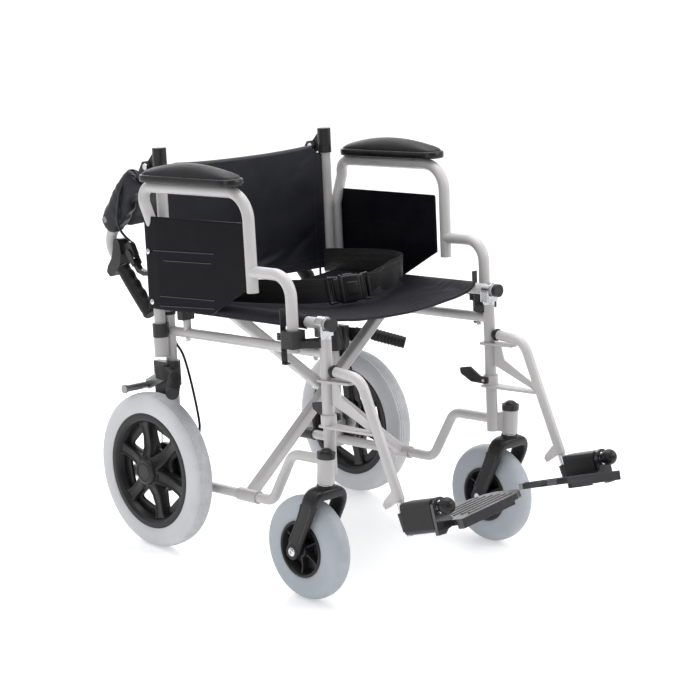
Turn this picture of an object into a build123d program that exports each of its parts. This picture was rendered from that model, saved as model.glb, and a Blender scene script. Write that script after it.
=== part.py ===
from build123d import *
import os
import math

os.makedirs("parts", exist_ok=True)

# ---------------------------------------------------------------- dimensions
# Frame: +Z up, -Y forward (towards the footrests), +X the user's left.
# Origin: on the ground, midway between the wheels, under the rear axle.
PITCH = math.radians(5.0)      # the side frames sit nose-up by this angle
WHEEL_X = 278.8                # rear wheel centre plane
WHEEL_R = 158.0
WHEEL_RIM_R = 117.0
CASTOR_X = 255.3
CASTOR_STEM_Y = -472.0
CASTOR_Y = -428.8
CASTOR_R = 100.5
CASTOR_RIM_R = 54.0
AXLE_R = 6.0
RUN = 0.05                     # running clearance, radial

SIDE_X = 224.0                 # side frame centre plane
POST_R = 11.5                  # posts and arm tubes
RAIL_R = 10.0                  # side and lower rails
WALL = 1.6
REAR_Y = -16.0                 # rear post
FRONT_Y = -474.0               # front post
LOW_Z = 125.0                  # lower rail
MID_Z = 434.0                  # side rail
POST_TOP = 780.0
SEAT_X = 228.0
SEAT_Z = 490.0
SEAT_R = 11.0

BRACE_A_Y = -234.0
BRACE_B_Y = -210.0
BRACE_W = 23.4
BRACE_T = 20.0

PIVOT_Y = 17.5                 # backrest fold pivot
PIVOT_Z = 763.4
FOLD = math.radians(146.0)     # backrest folded down by this angle from upright

FOOT_PIVOT = (-225.5, -746.0, 254.0)
FOOT_PITCH = math.radians(19.0)
FOOT_TILT = math.radians(6.0)

ARM_REAR_X = 249.0
ARM_REAR_Y = -17.0
ARM_FRONT_X = 263.0
ARM_FRONT_Y = -429.0
ARM_FRONT_R = 11.3             # front leg of the armrest


# ---------------------------------------------------------------- placement
def W(x, y, z):
    """A point of the pitched side frame, in the part's own frame."""
    return Vector(x, y * math.cos(PITCH) + z * math.sin(PITCH), -y * math.sin(PITCH) + z * math.cos(PITCH))


def PF(o, z, x=(1, 0, 0)):
    """A plane on the pitched side frame: origin, normal and x direction."""
    return Plane(origin=W(*o), x_dir=W(*x), z_dir=W(*z))


def U(x, y, z):
    """A point of the folded upper back, given where it stands when the back is upright."""
    c, s = math.cos(FOLD), math.sin(FOLD)
    dy, dz = y - PIVOT_Y, z - PIVOT_Z
    return W(x, PIVOT_Y + dy * c + dz * s, PIVOT_Z - dy * s + dz * c)


def UD(x, y, z):
    c, s = math.cos(FOLD), math.sin(FOLD)
    return W(x, y * c + z * s, -y * s + z * c)


def F(x, f, n):
    """A point of the right footrest: x inboard, f forward along the pivot, n up."""
    c, s = math.cos(FOOT_PITCH), math.sin(FOOT_PITCH)
    return Vector(FOOT_PIVOT[0] + x, FOOT_PIVOT[1] - f * c + n * s, FOOT_PIVOT[2] + f * s + n * c)


FOOT_F = Vector(0, -math.cos(FOOT_PITCH), math.sin(FOOT_PITCH))
FOOT_N = Vector(0, math.sin(FOOT_PITCH), math.cos(FOOT_PITCH))


# ---------------------------------------------------------------- shapes
def tube(pts, r, bend=0.0, mode=Mode.ADD):
    """A round bar along a bent centreline, in the part being built."""
    pts = [Vector(*p) if isinstance(p, tuple) else p for p in pts]
    with BuildLine() as path:
        if len(pts) > 2:
            FilletPolyline(*pts, radius=bend)
        else:
            Line(pts[0], pts[1])
    w = path.wires()[0]
    with BuildSketch(Plane(origin=w @ 0, z_dir=w % 0)) as prof:
        Circle(r)
    sweep(sections=prof.sketch, path=w, mode=mode)


def rod(a, b, r, mode=Mode.ADD):
    a, b = (Vector(*p) if isinstance(p, tuple) else p for p in (a, b))
    with BuildSketch(Plane(origin=a, z_dir=(b - a))) as prof:
        Circle(r)
    extrude(prof.sketch, amount=(b - a).length, mode=mode)


def hexbolt(a, b, r, mode=Mode.ADD):
    with BuildSketch(Plane(origin=a, z_dir=(b - a))) as prof:
        RegularPolygon(r, 6)
    extrude(prof.sketch, amount=(b - a).length, mode=mode)


def plate(plane, pts, t, mode=Mode.ADD, round_r=0.0):
    """A flat plate of thickness t, centred on the plane."""
    with BuildSketch(plane) as prof:
        with BuildLine():
            Polyline(*pts, close=True)
        make_face()
        if round_r:
            fillet(prof.vertices(), round_r)
    extrude(prof.sketch, amount=t / 2, both=True, mode=mode)


def block(plane, w, h, t, r=0.0, at=(0, 0), mode=Mode.ADD):
    """A box w by h with corner radius r, raised by t from the plane."""
    with BuildSketch(plane) as prof:
        with Locations(at):
            if r:
                RectangleRounded(w, h, r)
            else:
                Rectangle(w, h)
    extrude(prof.sketch, amount=t, mode=mode)


def spin(pts, centre, arcs=(), mode=Mode.ADD):
    """A ring about the wheel's axle: pts are (x, radius)."""
    y, z = centre
    with BuildSketch(Plane.XZ.offset(-y)) as prof:
        with BuildLine():
            q = [(x, z + r) for x, r in pts]
            i = 0
            n = len(q)
            while i < n:
                if i in arcs:
                    ThreePointArc(q[i], q[i + 1], q[(i + 2) % n])
                    i += 2
                else:
                    Line(q[i], q[(i + 1) % n])
                    i += 1
        make_face()
    revolve(prof.sketch, axis=Axis((0, y, z), (1, 0, 0)), mode=mode)


def save(b, name):
    b.part.label = name
    export_step(b.part, f"parts/{name}.step")


def save_pair(b, name):
    """Writes the right-hand piece and its mirrored left-hand twin."""
    save(b, "right_" + name)
    with BuildPart() as twin:
        mirror(b.part, about=Plane.YZ)
    save(twin, "left_" + name)


# ================================================================ side frame
REAR_POST = [W(-SIDE_X, REAR_Y, LOW_Z - 14), W(-SIDE_X, REAR_Y, POST_TOP)]
FRONT_POST = [W(-SIDE_X, FRONT_Y, 203), W(-SIDE_X, FRONT_Y, 461)]
LOWER = [W(-SIDE_X, 66, LOW_Z + 2), W(-SIDE_X, REAR_Y, LOW_Z), W(-SIDE_X, -304, LOW_Z), W(-SIDE_X, -368, 228), W(-SIDE_X, FRONT_Y, 228)]
SIDE = [W(-SIDE_X, REAR_Y, MID_Z), W(-SIDE_X, FRONT_Y, MID_Z)]
AXLE_C = (0.0, WHEEL_R)

with BuildPart() as side_frame:
    tube(REAR_POST, POST_R)
    tube(FRONT_POST, POST_R)
    tube([W(-SIDE_X, 66, LOW_Z), W(-SIDE_X, -304, LOW_Z), W(-SIDE_X, -368, 228), W(-SIDE_X, FRONT_Y, 228)], RAIL_R, 32)
    tube(SIDE, RAIL_R)
    # axle boss, square to the wheel
    rod((-SIDE_X + 14, 0, WHEEL_R), (-238, 0, WHEEL_R), 15)
    # castor housing, vertical, on a welded gusset
    rod((-CASTOR_X, CASTOR_STEM_Y, 238), (-CASTOR_X, CASTOR_STEM_Y, 286), 16.5)
    plate(Plane(origin=(-(SIDE_X + CASTOR_X) / 2, -461.5, 262), x_dir=(-(CASTOR_X - SIDE_X), -22, 0), z_dir=(-22, (CASTOR_X - SIDE_X), 0)),
          [(-14, -19), (14, -21), (14, 20), (-14, 17)], 8)
    # rear arm socket bracket, welded to the rear post
    rod(W(-ARM_REAR_X, ARM_REAR_Y, 385), W(-ARM_REAR_X, ARM_REAR_Y, 424.9), 15)
    # seat rail saddle pedestal at the rear, on the side rail
    rod(W(-SIDE_X, -72, MID_Z), W(-SIDE_X, -72, 462), 8)
    # bores
    tube([W(-SIDE_X, REAR_Y, LOW_Z - 24), W(-SIDE_X, REAR_Y, POST_TOP + 5)], POST_R - WALL, mode=Mode.SUBTRACT)
    tube([W(-SIDE_X, FRONT_Y, 195), W(-SIDE_X, FRONT_Y, 470)], POST_R - WALL, mode=Mode.SUBTRACT)
    tube([W(-SIDE_X, 76, LOW_Z), W(-SIDE_X, -304, LOW_Z), W(-SIDE_X, -368, 228), W(-SIDE_X, FRONT_Y, 228)], RAIL_R - WALL, 32, mode=Mode.SUBTRACT)
    tube(SIDE, RAIL_R - WALL, mode=Mode.SUBTRACT)
    rod(W(-ARM_REAR_X, ARM_REAR_Y, 375), W(-ARM_REAR_X, ARM_REAR_Y, 430), POST_R + RUN, mode=Mode.SUBTRACT)
    rod((-CASTOR_X, CASTOR_STEM_Y, 230), (-CASTOR_X, CASTOR_STEM_Y, 290), 8 + RUN, mode=Mode.SUBTRACT)
    rod((-200, 0, WHEEL_R), (-245, 0, WHEEL_R), AXLE_R + 0.02, mode=Mode.SUBTRACT)
save_pair(side_frame, "side_frame")

# ---- rear axle bolt, back hinge bolt, brake clamp bolts and small frame nuts
with BuildPart() as frame_bolts:
    # axle
    rod((-209.9, 0, WHEEL_R), (-305, 0, WHEEL_R), AXLE_R)
    hexbolt(Vector(-200, 0, WHEEL_R), Vector(-209.95, 0, WHEEL_R), 10)
    # backrest pivot bolt
    rod(W(-SIDE_X - 9.0, PIVOT_Y, PIVOT_Z), W(-SIDE_X + 9.0, PIVOT_Y, PIVOT_Z), 4)
    hexbolt(W(-SIDE_X - 8.0, PIVOT_Y, PIVOT_Z), W(-SIDE_X - 13.0, PIVOT_Y, PIVOT_Z), 7)
    hexbolt(W(-SIDE_X + 8.0, PIVOT_Y, PIVOT_Z), W(-SIDE_X + 12.5, PIVOT_Y, PIVOT_Z), 7)
    # nuts under the side rail
    hexbolt(W(-SIDE_X, -446, MID_Z - RAIL_R - 0.05), W(-SIDE_X, -446, MID_Z - RAIL_R - 6), 5)
    hexbolt(W(-SIDE_X, -72, MID_Z - RAIL_R - 0.05), W(-SIDE_X, -72, MID_Z - RAIL_R - 6), 5)
save_pair(frame_bolts, "frame_bolts")

# ---- back hinge bracket: black sleeve on the post top with a web to the pivot
with BuildPart() as back_hinge:
    rod(W(-SIDE_X, REAR_Y, 750), W(-SIDE_X, REAR_Y, 801.5), 14.2)
    plate(PF((-SIDE_X, 0, 0), (1, 0, 0), (0, 1, 0)), [(REAR_Y + 8, 751), (PIVOT_Y - 2, 752.5), (PIVOT_Y + 9.5, 758), (PIVOT_Y + 10, 770), (PIVOT_Y, 775), (REAR_Y + 8, 800)], 6)
    rod(W(-SIDE_X, REAR_Y, 745), W(-SIDE_X, REAR_Y, POST_TOP + 0.1), POST_R + 0.02, mode=Mode.SUBTRACT)
    rod(W(-SIDE_X - 10, PIVOT_Y, PIVOT_Z), W(-SIDE_X + 10, PIVOT_Y, PIVOT_Z), 4.02, mode=Mode.SUBTRACT)
save_pair(back_hinge, "back_hinge")

# ---- moulded frame fittings: castor cap, tipping-lever sleeve, arm sockets, seat rail saddles
with BuildPart() as frame_fittings:
    # castor cap: a collar and a dome
    rod((-CASTOR_X, CASTOR_STEM_Y, 286.1), (-CASTOR_X, CASTOR_STEM_Y, 297), 17.5)
    with Locations((-CASTOR_X, CASTOR_STEM_Y, 296.9)):
        Sphere(16.4, 0, 90, 360)
    rod((-CASTOR_X, CASTOR_STEM_Y, 285), (-CASTOR_X, CASTOR_STEM_Y, 292.5), 10, mode=Mode.SUBTRACT)
    # tipping lever rubber
    rod(W(-SIDE_X, 58, LOW_Z), W(-SIDE_X, 126, LOW_Z), 13)
    rod(W(-SIDE_X, 50, LOW_Z), W(-SIDE_X, 66.2, LOW_Z), RAIL_R + 0.02, mode=Mode.SUBTRACT)
    # rear arm socket collar
    rod(W(-ARM_REAR_X, ARM_REAR_Y, 425), W(-ARM_REAR_X, ARM_REAR_Y, 452), 16)
    rod(W(-ARM_REAR_X, ARM_REAR_Y, 420), W(-ARM_REAR_X, ARM_REAR_Y, 455), POST_R + RUN, mode=Mode.SUBTRACT)
    rod(W(-SIDE_X, REAR_Y, 420), W(-SIDE_X, REAR_Y, 455), POST_R + RUN, mode=Mode.SUBTRACT)
    rod(W(-SIDE_X, REAR_Y, MID_Z), W(-SIDE_X, REAR_Y - 50, MID_Z), RAIL_R + RUN, mode=Mode.SUBTRACT)
    # front arm socket block with its strap to the front post
    block(PF((-ARM_FRONT_X, ARM_FRONT_Y, 446), (0, 0, 1)), 35, 37, 33, 6)
    plate(PF((0, 0, 452.9), (0, 0, 1)), [(-281, -438), (-262, -448), (-238, -474), (-224, -474), (-208, -470), (-208, -452), (-246, -428)], 13.8)
    rod(W(-ARM_FRONT_X, ARM_FRONT_Y, 440), W(-ARM_FRONT_X, ARM_FRONT_Y, 485), ARM_FRONT_R + RUN, mode=Mode.SUBTRACT)
    rod(W(-SIDE_X, FRONT_Y, 440), W(-SIDE_X, FRONT_Y, 460.9), POST_R + 0.02, mode=Mode.SUBTRACT)
    # lugs for the arm latch
    for lx in (-272.2, -253.8):
        block(PF((lx, -404, 459), (0, 0, 1)), 4, 16, 14)
    rod(W(-280, -402, 466), W(-246, -402, 466), 2.5, mode=Mode.SUBTRACT)
    # front saddle on the post top
    rod(W(-SIDE_X, FRONT_Y, 461.05), W(-SIDE_X, FRONT_Y, 470), 11.5)
    block(PF((-226.5, FRONT_Y, 467), (0, 0, 1)), 31, 22, 21, 3)
    # rear saddle on its pedestal
    block(PF((-226.5, -72, 462.05), (0, 0, 1)), 31, 20, 26, 3)
    rod(W(-SEAT_X, -20, SEAT_Z), W(-SEAT_X, -505, SEAT_Z), SEAT_R + 0.3, mode=Mode.SUBTRACT)
    block(PF((-SEAT_X, -250, SEAT_Z), (0, 0, 1)), 2 * (SEAT_R + 0.3), 520, 20, mode=Mode.SUBTRACT)
save_pair(frame_fittings, "frame_fittings")

# ---- wheel brake drum back plate with its cable arm
with BuildPart() as brake_plate:
    spin([(-239, AXLE_R + 0.02), (-239, 44), (-241, 47), (-245, 47), (-245, AXLE_R + 0.02)], AXLE_C)
    plate(Plane(origin=(-236.5, 0, WHEEL_R), x_dir=(0, 1, 0), z_dir=(1, 0, 0)), [(-44, -8), (-30, -14), (-20, 2), (-30, 24), (-52, 30), (-50, 12)], 5)
save_pair(brake_plate, "brake_plate")

# ---- parking brake body clamped to the rear post
with BuildPart() as brake_body:
    rod(W(-SIDE_X, REAR_Y, 322), W(-SIDE_X, REAR_Y, 372), 17)
    block(PF((-244, -14, 306), (0, 0, 1)), 16, 50, 68, 4)
    block(PF((-233, -16, 322), (0, 0, 1)), 22, 34, 50, 3)
    rod(W(-SIDE_X, REAR_Y, 300), W(-SIDE_X, REAR_Y, 380), POST_R + 0.02, mode=Mode.SUBTRACT)
    rod((-SIDE_X, 8, 352), (-275, 8, 352), 4.02, mode=Mode.SUBTRACT)
save_pair(brake_body, "brake_body")

# lever pivot: the shoe bar and the lever both turn on this line
BRAKE_P = (8.0, 352.0)
with BuildPart() as parking_lever:
    # pivot pin and lever root plate outside the body, then the splayed arm and ribbed grip
    rod((-240, BRAKE_P[0], BRAKE_P[1]), (-262, BRAKE_P[0], BRAKE_P[1]), 4.0 - 0.03)
    plate(Plane(origin=(-260, 0, 0), x_dir=(0, 1, 0), z_dir=(1, 0, 0)), [(22, 340), (22, 362), (8, 368), (-40, 374), (-44, 362), (-6, 340)], 4, round_r=3)
    tube([(-260, -18, 368), (-266, -36, 366), (-286, -60, 359)], 5, 12)
    LG = Vector(-0.67, -0.70, -0.24)
    g0 = Vector(-264, -43.5, 365.3)
    rod(g0, g0 + LG * 16, 9)
    rod(g0 + LG * 14, g0 + LG * 88, 12.5)
    for i in range(8):
        rod(g0 + LG * (22 + 7.6 * i), g0 + LG * (25.5 + 7.6 * i), 13.6)
save_pair(parking_lever, "parking_lever")

with BuildPart() as brake_shoe:
    plate(Plane(origin=(-254.8, 0, 0), x_dir=(0, 1, 0), z_dir=(1, 0, 0)), [(-3, 358), (12, 362), (26, 350), (60, 330), (63, 314), (50, 311), (2, 338)], 4, round_r=4)
    rod((-254, 55, 320), (-316, 56, 320), 7)
    rod((-312, 56, 320), (-316, 56, 320), 9)
    rod((-250, BRAKE_P[0], BRAKE_P[1]), (-262, BRAKE_P[0], BRAKE_P[1]), 4.02, mode=Mode.SUBTRACT)
save_pair(brake_shoe, "brake_shoe")

# ================================================================ castor
with BuildPart() as castor_fork:
    rod((-CASTOR_X, CASTOR_STEM_Y, 226), (-CASTOR_X, CASTOR_STEM_Y, 291), 8)
    rod((-CASTOR_X, CASTOR_STEM_Y, 228), (-CASTOR_X, CASTOR_STEM_Y, 237.5), 13.5)
    block(Plane(origin=(-CASTOR_X, CASTOR_STEM_Y + 1, 206), z_dir=(0, 0, 1)), 82, 36, 25, 8)
    for sx in (-34.5, 34.5):
        plate(Plane(origin=(-CASTOR_X + sx, 0, 0), x_dir=(0, 1, 0), z_dir=(1, 0, 0)),
              [(-489, 222), (-453, 222), (-450, 196), (-415, 112), (-414, 96), (-441, 90), (-472, 160), (-487, 196)], 12, round_r=4)
        rod((-CASTOR_X + sx - 6, CASTOR_Y, CASTOR_R), (-CASTOR_X + sx + 6, CASTOR_Y, CASTOR_R), 15)
    rod((-CASTOR_X - 50, CASTOR_Y, CASTOR_R), (-CASTOR_X + 50, CASTOR_Y, CASTOR_R), AXLE_R + 0.02, mode=Mode.SUBTRACT)
save_pair(castor_fork, "castor_fork")

with BuildPart() as castor_axle:
    rod((-CASTOR_X - 43, CASTOR_Y, CASTOR_R), (-CASTOR_X + 43, CASTOR_Y, CASTOR_R), AXLE_R)
    rod((-CASTOR_X - 45, CASTOR_Y, CASTOR_R), (-CASTOR_X - 40.55, CASTOR_Y, CASTOR_R), 9.5)
    hexbolt(Vector(-CASTOR_X + 45, CASTOR_Y, CASTOR_R), Vector(-CASTOR_X + 40.55, CASTOR_Y, CASTOR_R), 10)
save_pair(castor_axle, "castor_axle")

CC = (CASTOR_Y, CASTOR_R)
with BuildPart() as castor_rim:
    c = -CASTOR_X
    spin([(c - 20, 46), (c - 20, CASTOR_RIM_R), (c + 20, CASTOR_RIM_R), (c + 20, 46), (c + 6, 41), (c - 6, 41)], CC)
    spin([(c - 24, AXLE_R + RUN), (c - 24, 17), (c + 24, 17), (c + 24, AXLE_R + RUN)], CC)
    spin([(c - 2.5, 15), (c - 2.5, 43), (c + 2.5, 43), (c + 2.5, 15)], CC)
    for i in range(6):
        a = math.radians(30 + 60 * i)
        d = Vector(0, math.cos(a), math.sin(a))
        o = Vector(c, CASTOR_Y, CASTOR_R)
        plate(Plane(origin=o + d * 30, x_dir=d, z_dir=(0, -math.sin(a), math.cos(a))), [(-15, -19), (14, -15), (14, 15), (-15, 19)], 5)
save_pair(castor_rim, "castor_rim")

with BuildPart() as castor_tyre:
    spin([(c - 20, CASTOR_RIM_R), (c - 23.5, 64), (c - 23, 84), (c, CASTOR_R), (c + 23, 84), (c + 23.5, 64), (c + 20, CASTOR_RIM_R)], CC, arcs=(2,))
save_pair(castor_tyre, "castor_tyre")

# ================================================================ rear wheel
with BuildPart() as rear_rim:
    w = -WHEEL_X
    spin([(w - 19, 98), (w - 19, WHEEL_RIM_R), (w + 19, WHEEL_RIM_R), (w + 19, 98), (w + 12, 94), (w + 4, 92), (w - 8, 94)], AXLE_C)
    spin([(-246, AXLE_R + RUN), (-246, 50), (-257, 50), (-259, 34), (-268, 31), (-296, 29), (-303, 27), (-311, 19), (-312, 0), (-306, 0), (-306, AXLE_R + RUN)], AXLE_C)
    for i in range(6):
        a = math.radians(15 + 60 * i)
        d = Vector(0, math.cos(a), math.sin(a))
        o = Vector(w - 2, 0, WHEEL_R)
        plate(Plane(origin=o + d * 62, x_dir=d, z_dir=(1, 0, 0)), [(-37, -15), (34, -10), (34, 10), (-37, 15)], 9)
        plate(Plane(origin=o + d * 62, x_dir=d, z_dir=d.cross(Vector(1, 0, 0))), [(-37, 13), (-37, -14), (34, -11), (34, 11)], 4)
save_pair(rear_rim, "rear_rim")

with BuildPart() as rear_tyre:
    spin([(w - 19, WHEEL_RIM_R), (w - 23, 127), (w - 22.5, 143), (w, WHEEL_R), (w + 22.5, 143), (w + 23, 127), (w + 19, WHEEL_RIM_R)], AXLE_C, arcs=(2,))
save_pair(rear_tyre, "rear_tyre")

# ================================================================ footrest hanger
HP = [Vector(-SIDE_X, -462.0, 443.0), Vector(-SIDE_X, -527, 443), Vector(-SIDE_X, -635, 236)]
with BuildPart() as hanger_tube:
    tube(HP, RAIL_R, 38)
    tube([Vector(-SIDE_X, -634.5, 237), Vector(-SIDE_X, -666, 176.6)], 7.5)
    # two plates that turn on the front post
    plate(PF((0, 0, 383), (0, 0, 1)), [(-SIDE_X - 15, -490), (-SIDE_X - 15, -459), (-SIDE_X + 17, -459), (-SIDE_X + 15, -495), (-SIDE_X + 9, -540), (-SIDE_X - 9, -540)], 4.5, round_r=4)
    plate(PF((0, 0, 296), (0, 0, 1)), [(-SIDE_X - 15, -490), (-SIDE_X - 15, -459), (-SIDE_X + 17, -459), (-SIDE_X + 15, -495), (-SIDE_X + 9, -604), (-SIDE_X - 9, -604)], 4.5, round_r=4)
    # gusset and the boss behind the upper plate
    plate(PF((-SIDE_X, 0, 0), (1, 0, 0), (0, 1, 0)), [(-488, 383), (-488, 338), (-598, 296), (-600, 306), (-512, 352), (-502, 383)], 3)
    rod(W(-SIDE_X, FRONT_Y, 296), W(-SIDE_X, FRONT_Y, 318), 15)
    # clamp tab for the height setting
    plate(Plane(origin=(-SIDE_X, 0, 0), x_dir=(0, 1, 0), z_dir=(1, 0, 0)), [(-630, 250), (-618, 252), (-599, 228), (-596, 218), (-603, 212), (-626, 230)], 9)
    # post bore
    rod(W(-SIDE_X, FRONT_Y, 280), W(-SIDE_X, FRONT_Y, 440), POST_R + RUN, mode=Mode.SUBTRACT)
    # pin for the release paddle
    rod(W(-211, FRONT_Y, 310), W(-199, FRONT_Y, 310), 3)
save_pair(hanger_tube, "hanger_tube")

with BuildPart() as hanger_latch:
    # release paddle on the inboard side, on its own small pin
    plate(PF((-204, 0, 0), (1, 0, 0), (0, 1, 0)), [(-482, 303), (-482, 316), (-462, 318), (-436, 334), (-410, 330), (-412, 318), (-440, 304)], 6, round_r=3)
    rod(W(-207.5, FRONT_Y, 310), W(-200.5, FRONT_Y, 310), 6)
    rod(W(-212, FRONT_Y, 310), W(-195, FRONT_Y, 310), 3 + RUN, mode=Mode.SUBTRACT)
save_pair(hanger_latch, "hanger_latch")

with BuildPart() as footplate_housing:
    # moulded housing on the lower end of the hanger
    with BuildSketch(Plane(origin=F(0, -16, 0), x_dir=(1, 0, 0), z_dir=(-FOOT_F))) as hp:
        with Locations((0, 14)):
            RectangleRounded(40, 60, 9)
    extrude(hp.sketch, amount=77)
    # clamp collar on the hanger's insert
    rod(Vector(-SIDE_X, -644.9, 217), Vector(-SIDE_X, -661.2, 185.8), 12)
    rod(Vector(-SIDE_X, -634.5, 237), Vector(-SIDE_X, -670, 168.9), 7.55, mode=Mode.SUBTRACT)
    # pivot shaft, hexagon and ball knob
    rod(F(0, -17, 0), F(0, 2, 0), 6.0)
    hexbolt(F(0, -7.9, 0), F(0, -4, 0), 13)
    with Locations(F(0, 7.5, 0)):
        Sphere(15.5)
save_pair(footplate_housing, "footplate_housing")

FT_X = Vector(math.cos(FOOT_TILT), 0, 0) + FOOT_N * math.sin(FOOT_TILT)
FT_N = FOOT_N * math.cos(FOOT_TILT) - Vector(math.sin(FOOT_TILT), 0, 0)
with BuildPart() as footplate:
    # end flange that hangs the plate from the pivot shaft
    with BuildSketch(Plane(origin=F(0, -15.9, 0), x_dir=(1, 0, 0), z_dir=FOOT_F)) as fl:
        with BuildLine():
            Polyline((-19, 8), (-19, -49), (0, -49), (8, -42), (24, -38), (24, -24), (16, -20), (16, 8), close=True)
        make_face()
        Circle(18)
        with BuildSketch(mode=Mode.PRIVATE):
            Circle(6.0 + RUN)
    extrude(fl.sketch, amount=7.9)
    # plate
    with BuildSketch(Plane(origin=F(6, -33, -27), x_dir=FT_X, z_dir=-FT_N)) as fpl:
        with BuildLine():
            Polyline((0, 65), (0, 17.5), (17, 17.5), (17, -65), (120, -65), (172, -40), (184, -18), (180, 40), (168, 58), (150, 65), close=True)
        make_face()
        fillet(fpl.vertices().sort_by(Axis.X)[-4:], 8)
    extrude(fpl.sketch, amount=11)
    # deep front rim and the heel pad under it
    with BuildSketch(Plane(origin=F(6, -33, -27), x_dir=FT_X, z_dir=-FT_N)) as rim:
        with BuildLine():
            Polyline((0, 65), (0, 50), (70, 50), (140, 60), (140, 65), close=True)
        make_face()
    extrude(rim.sketch, amount=18)
    with BuildSketch(Plane(origin=F(6, -33, -27), x_dir=FT_X, z_dir=-FT_N)) as heel:
        with Locations((88, 40)):
            RectangleRounded(44, 30, 6)
    extrude(heel.sketch, amount=21)
    # raised ribs on the tread
    for k in range(6):
        with BuildSketch(Plane(origin=F(6, -33, -27), x_dir=FT_X, z_dir=FT_N)) as rb:
            with Locations((97, -46 + 17 * k)):
                SlotOverall(128 - 4 * abs(k - 2), 5)
        extrude(rb.sketch, amount=1.4)
    rod(F(0, -40, 0), F(0, 20, 0), 6.0 + RUN, mode=Mode.SUBTRACT)
save_pair(footplate, "footplate")

# ================================================================ armrest
ARM_MID = W(-270 + 4 * (133 / 306), -150, 730)
with BuildPart() as arm_tube:
    tube([W(-ARM_REAR_X, ARM_REAR_Y, 388), W(-ARM_REAR_X, ARM_REAR_Y, 640), W(-270, ARM_REAR_Y, 698), W(-270, ARM_REAR_Y, 730), ARM_MID], POST_R, 24)
    tube([ARM_MID, W(-266, -323, 730), W(-264, -323, 541)], POST_R, 52)
    tube([W(-264.4, -323, 581), W(-ARM_FRONT_X, ARM_FRONT_Y, 581), W(-ARM_FRONT_X, ARM_FRONT_Y, 437)], ARM_FRONT_R, 42)
    # open legs
    rod(W(-ARM_REAR_X, ARM_REAR_Y, 380), W(-ARM_REAR_X, ARM_REAR_Y, 625), POST_R - WALL, mode=Mode.SUBTRACT)
    rod(W(-ARM_FRONT_X, ARM_FRONT_Y, 430), W(-ARM_FRONT_X, ARM_FRONT_Y, 532), ARM_FRONT_R - WALL, mode=Mode.SUBTRACT)
save_pair(arm_tube, "arm_tube")

with BuildPart() as arm_pad:
    block(PF((-272.5, -167, 741.6), (0, 0, 1)), 54, 280, 42, 24)
    # crowned along its length over an upright band
    with BuildSketch(PF((-272.5, -167, 741.6), (1, 0, 0), (0, 1, 0))) as crown:
        with BuildLine():
            Polyline((-141, 14), (-141, -1), (141, -1), (141, 14))
            ThreePointArc((141, 14), (0, 38), (-141, 14))
        make_face()
    extrude(crown.sketch, amount=40, both=True, mode=Mode.INTERSECT)
save_pair(arm_pad, "arm_pad")

with BuildPart() as side_panel:
    with BuildSketch(PF((0, 0, 484), (0, 0, 1))) as sp:
        with BuildLine():
            Polyline((-264.6, -4), (-264.6, -40), (-252.3, -300), (-252.3, -312), (-248.8, -312), (-248.8, -300), (-261.0, -40), (-261.0, -4), close=True)
        make_face()
    extrude(sp.sketch, amount=186)
    tube([W(-ARM_REAR_X, ARM_REAR_Y, 630), W(-ARM_REAR_X, ARM_REAR_Y, 640), W(-270, ARM_REAR_Y, 698), W(-270, ARM_REAR_Y, 710)], POST_R + 0.3, 5, mode=Mode.SUBTRACT)
    plate(PF((-256, 0, 0), (1, 0, 0), (0, 1, 0)), [(-186, 480), (-316, 480), (-316, 553)], 40, mode=Mode.SUBTRACT)
save_pair(side_panel, "side_panel")

with BuildPart() as arm_latch:
    block(PF((-263, -402, 412), (0, 0, 1)), 12.6, 2.6, 106)
    rod(W(-269.3, -402, 466), W(-256.7, -402, 466), 5)
    block(PF((-263, -406, 412), (0, 0, 1)), 12.6, 10, 3)
    rod(W(-275, -402, 466), W(-250, -402, 466), 2.45)
save_pair(arm_latch, "arm_latch")

# ================================================================ folding upper back
def UT(t, d, x=-SIDE_X):
    """A point on the push handle: t along it from the bend corner, d below its centreline."""
    hy, hz = 0.9724, 0.2334
    return U(x, -16 + hy * t + hz * d, 984.3 + hz * t - hy * d)


with BuildPart() as push_tube:
    tube([U(-SIDE_X, REAR_Y, 803.5), U(-SIDE_X, REAR_Y, 984.3), UT(181, 0)], POST_R, 36)
    tube([U(-SIDE_X, REAR_Y, 803.5), U(-SIDE_X, REAR_Y, 984.3), UT(181, 0)], POST_R - WALL, 36, mode=Mode.SUBTRACT)
    # two lugs that straddle the hinge web
    for lx in (-SIDE_X - 5.6, -SIDE_X + 5.6):
        plate(Plane(origin=U(lx, 0, 0), x_dir=UD(0, 1, 0), z_dir=UD(1, 0, 0)),
              [(REAR_Y - 9, 804), (REAR_Y - 9, 830), (REAR_Y + 6, 838), (PIVOT_Y + 8, 786), (PIVOT_Y + 9.5, 763), (PIVOT_Y + 6, 755), (PIVOT_Y - 6, 754), (0.5, 764), (0.5, 804)], 4)
    rod(U(-SIDE_X - 9, PIVOT_Y, PIVOT_Z), U(-SIDE_X + 9, PIVOT_Y, PIVOT_Z), 4 + RUN, mode=Mode.SUBTRACT)
save_pair(push_tube, "push_tube")

HL = Plane(origin=UT(0, 0), x_dir=UT(1, 0) - UT(0, 0), z_dir=(1, 0, 0))
LEVER_T, LEVER_D = 60.0, 45.0       # hand lever pivot on the handle
with BuildPart() as push_grip:
    rod(UT(66, 0), UT(186, 0), 14.3)
    for t in range(70, 176, 9):
        rod(UT(t, 0), UT(t + 4.5, 0), 15.2)
    rod(UT(36, 0), UT(181.1, 0), POST_R + 0.02, mode=Mode.SUBTRACT)
save_pair(push_grip, "push_grip")

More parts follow.
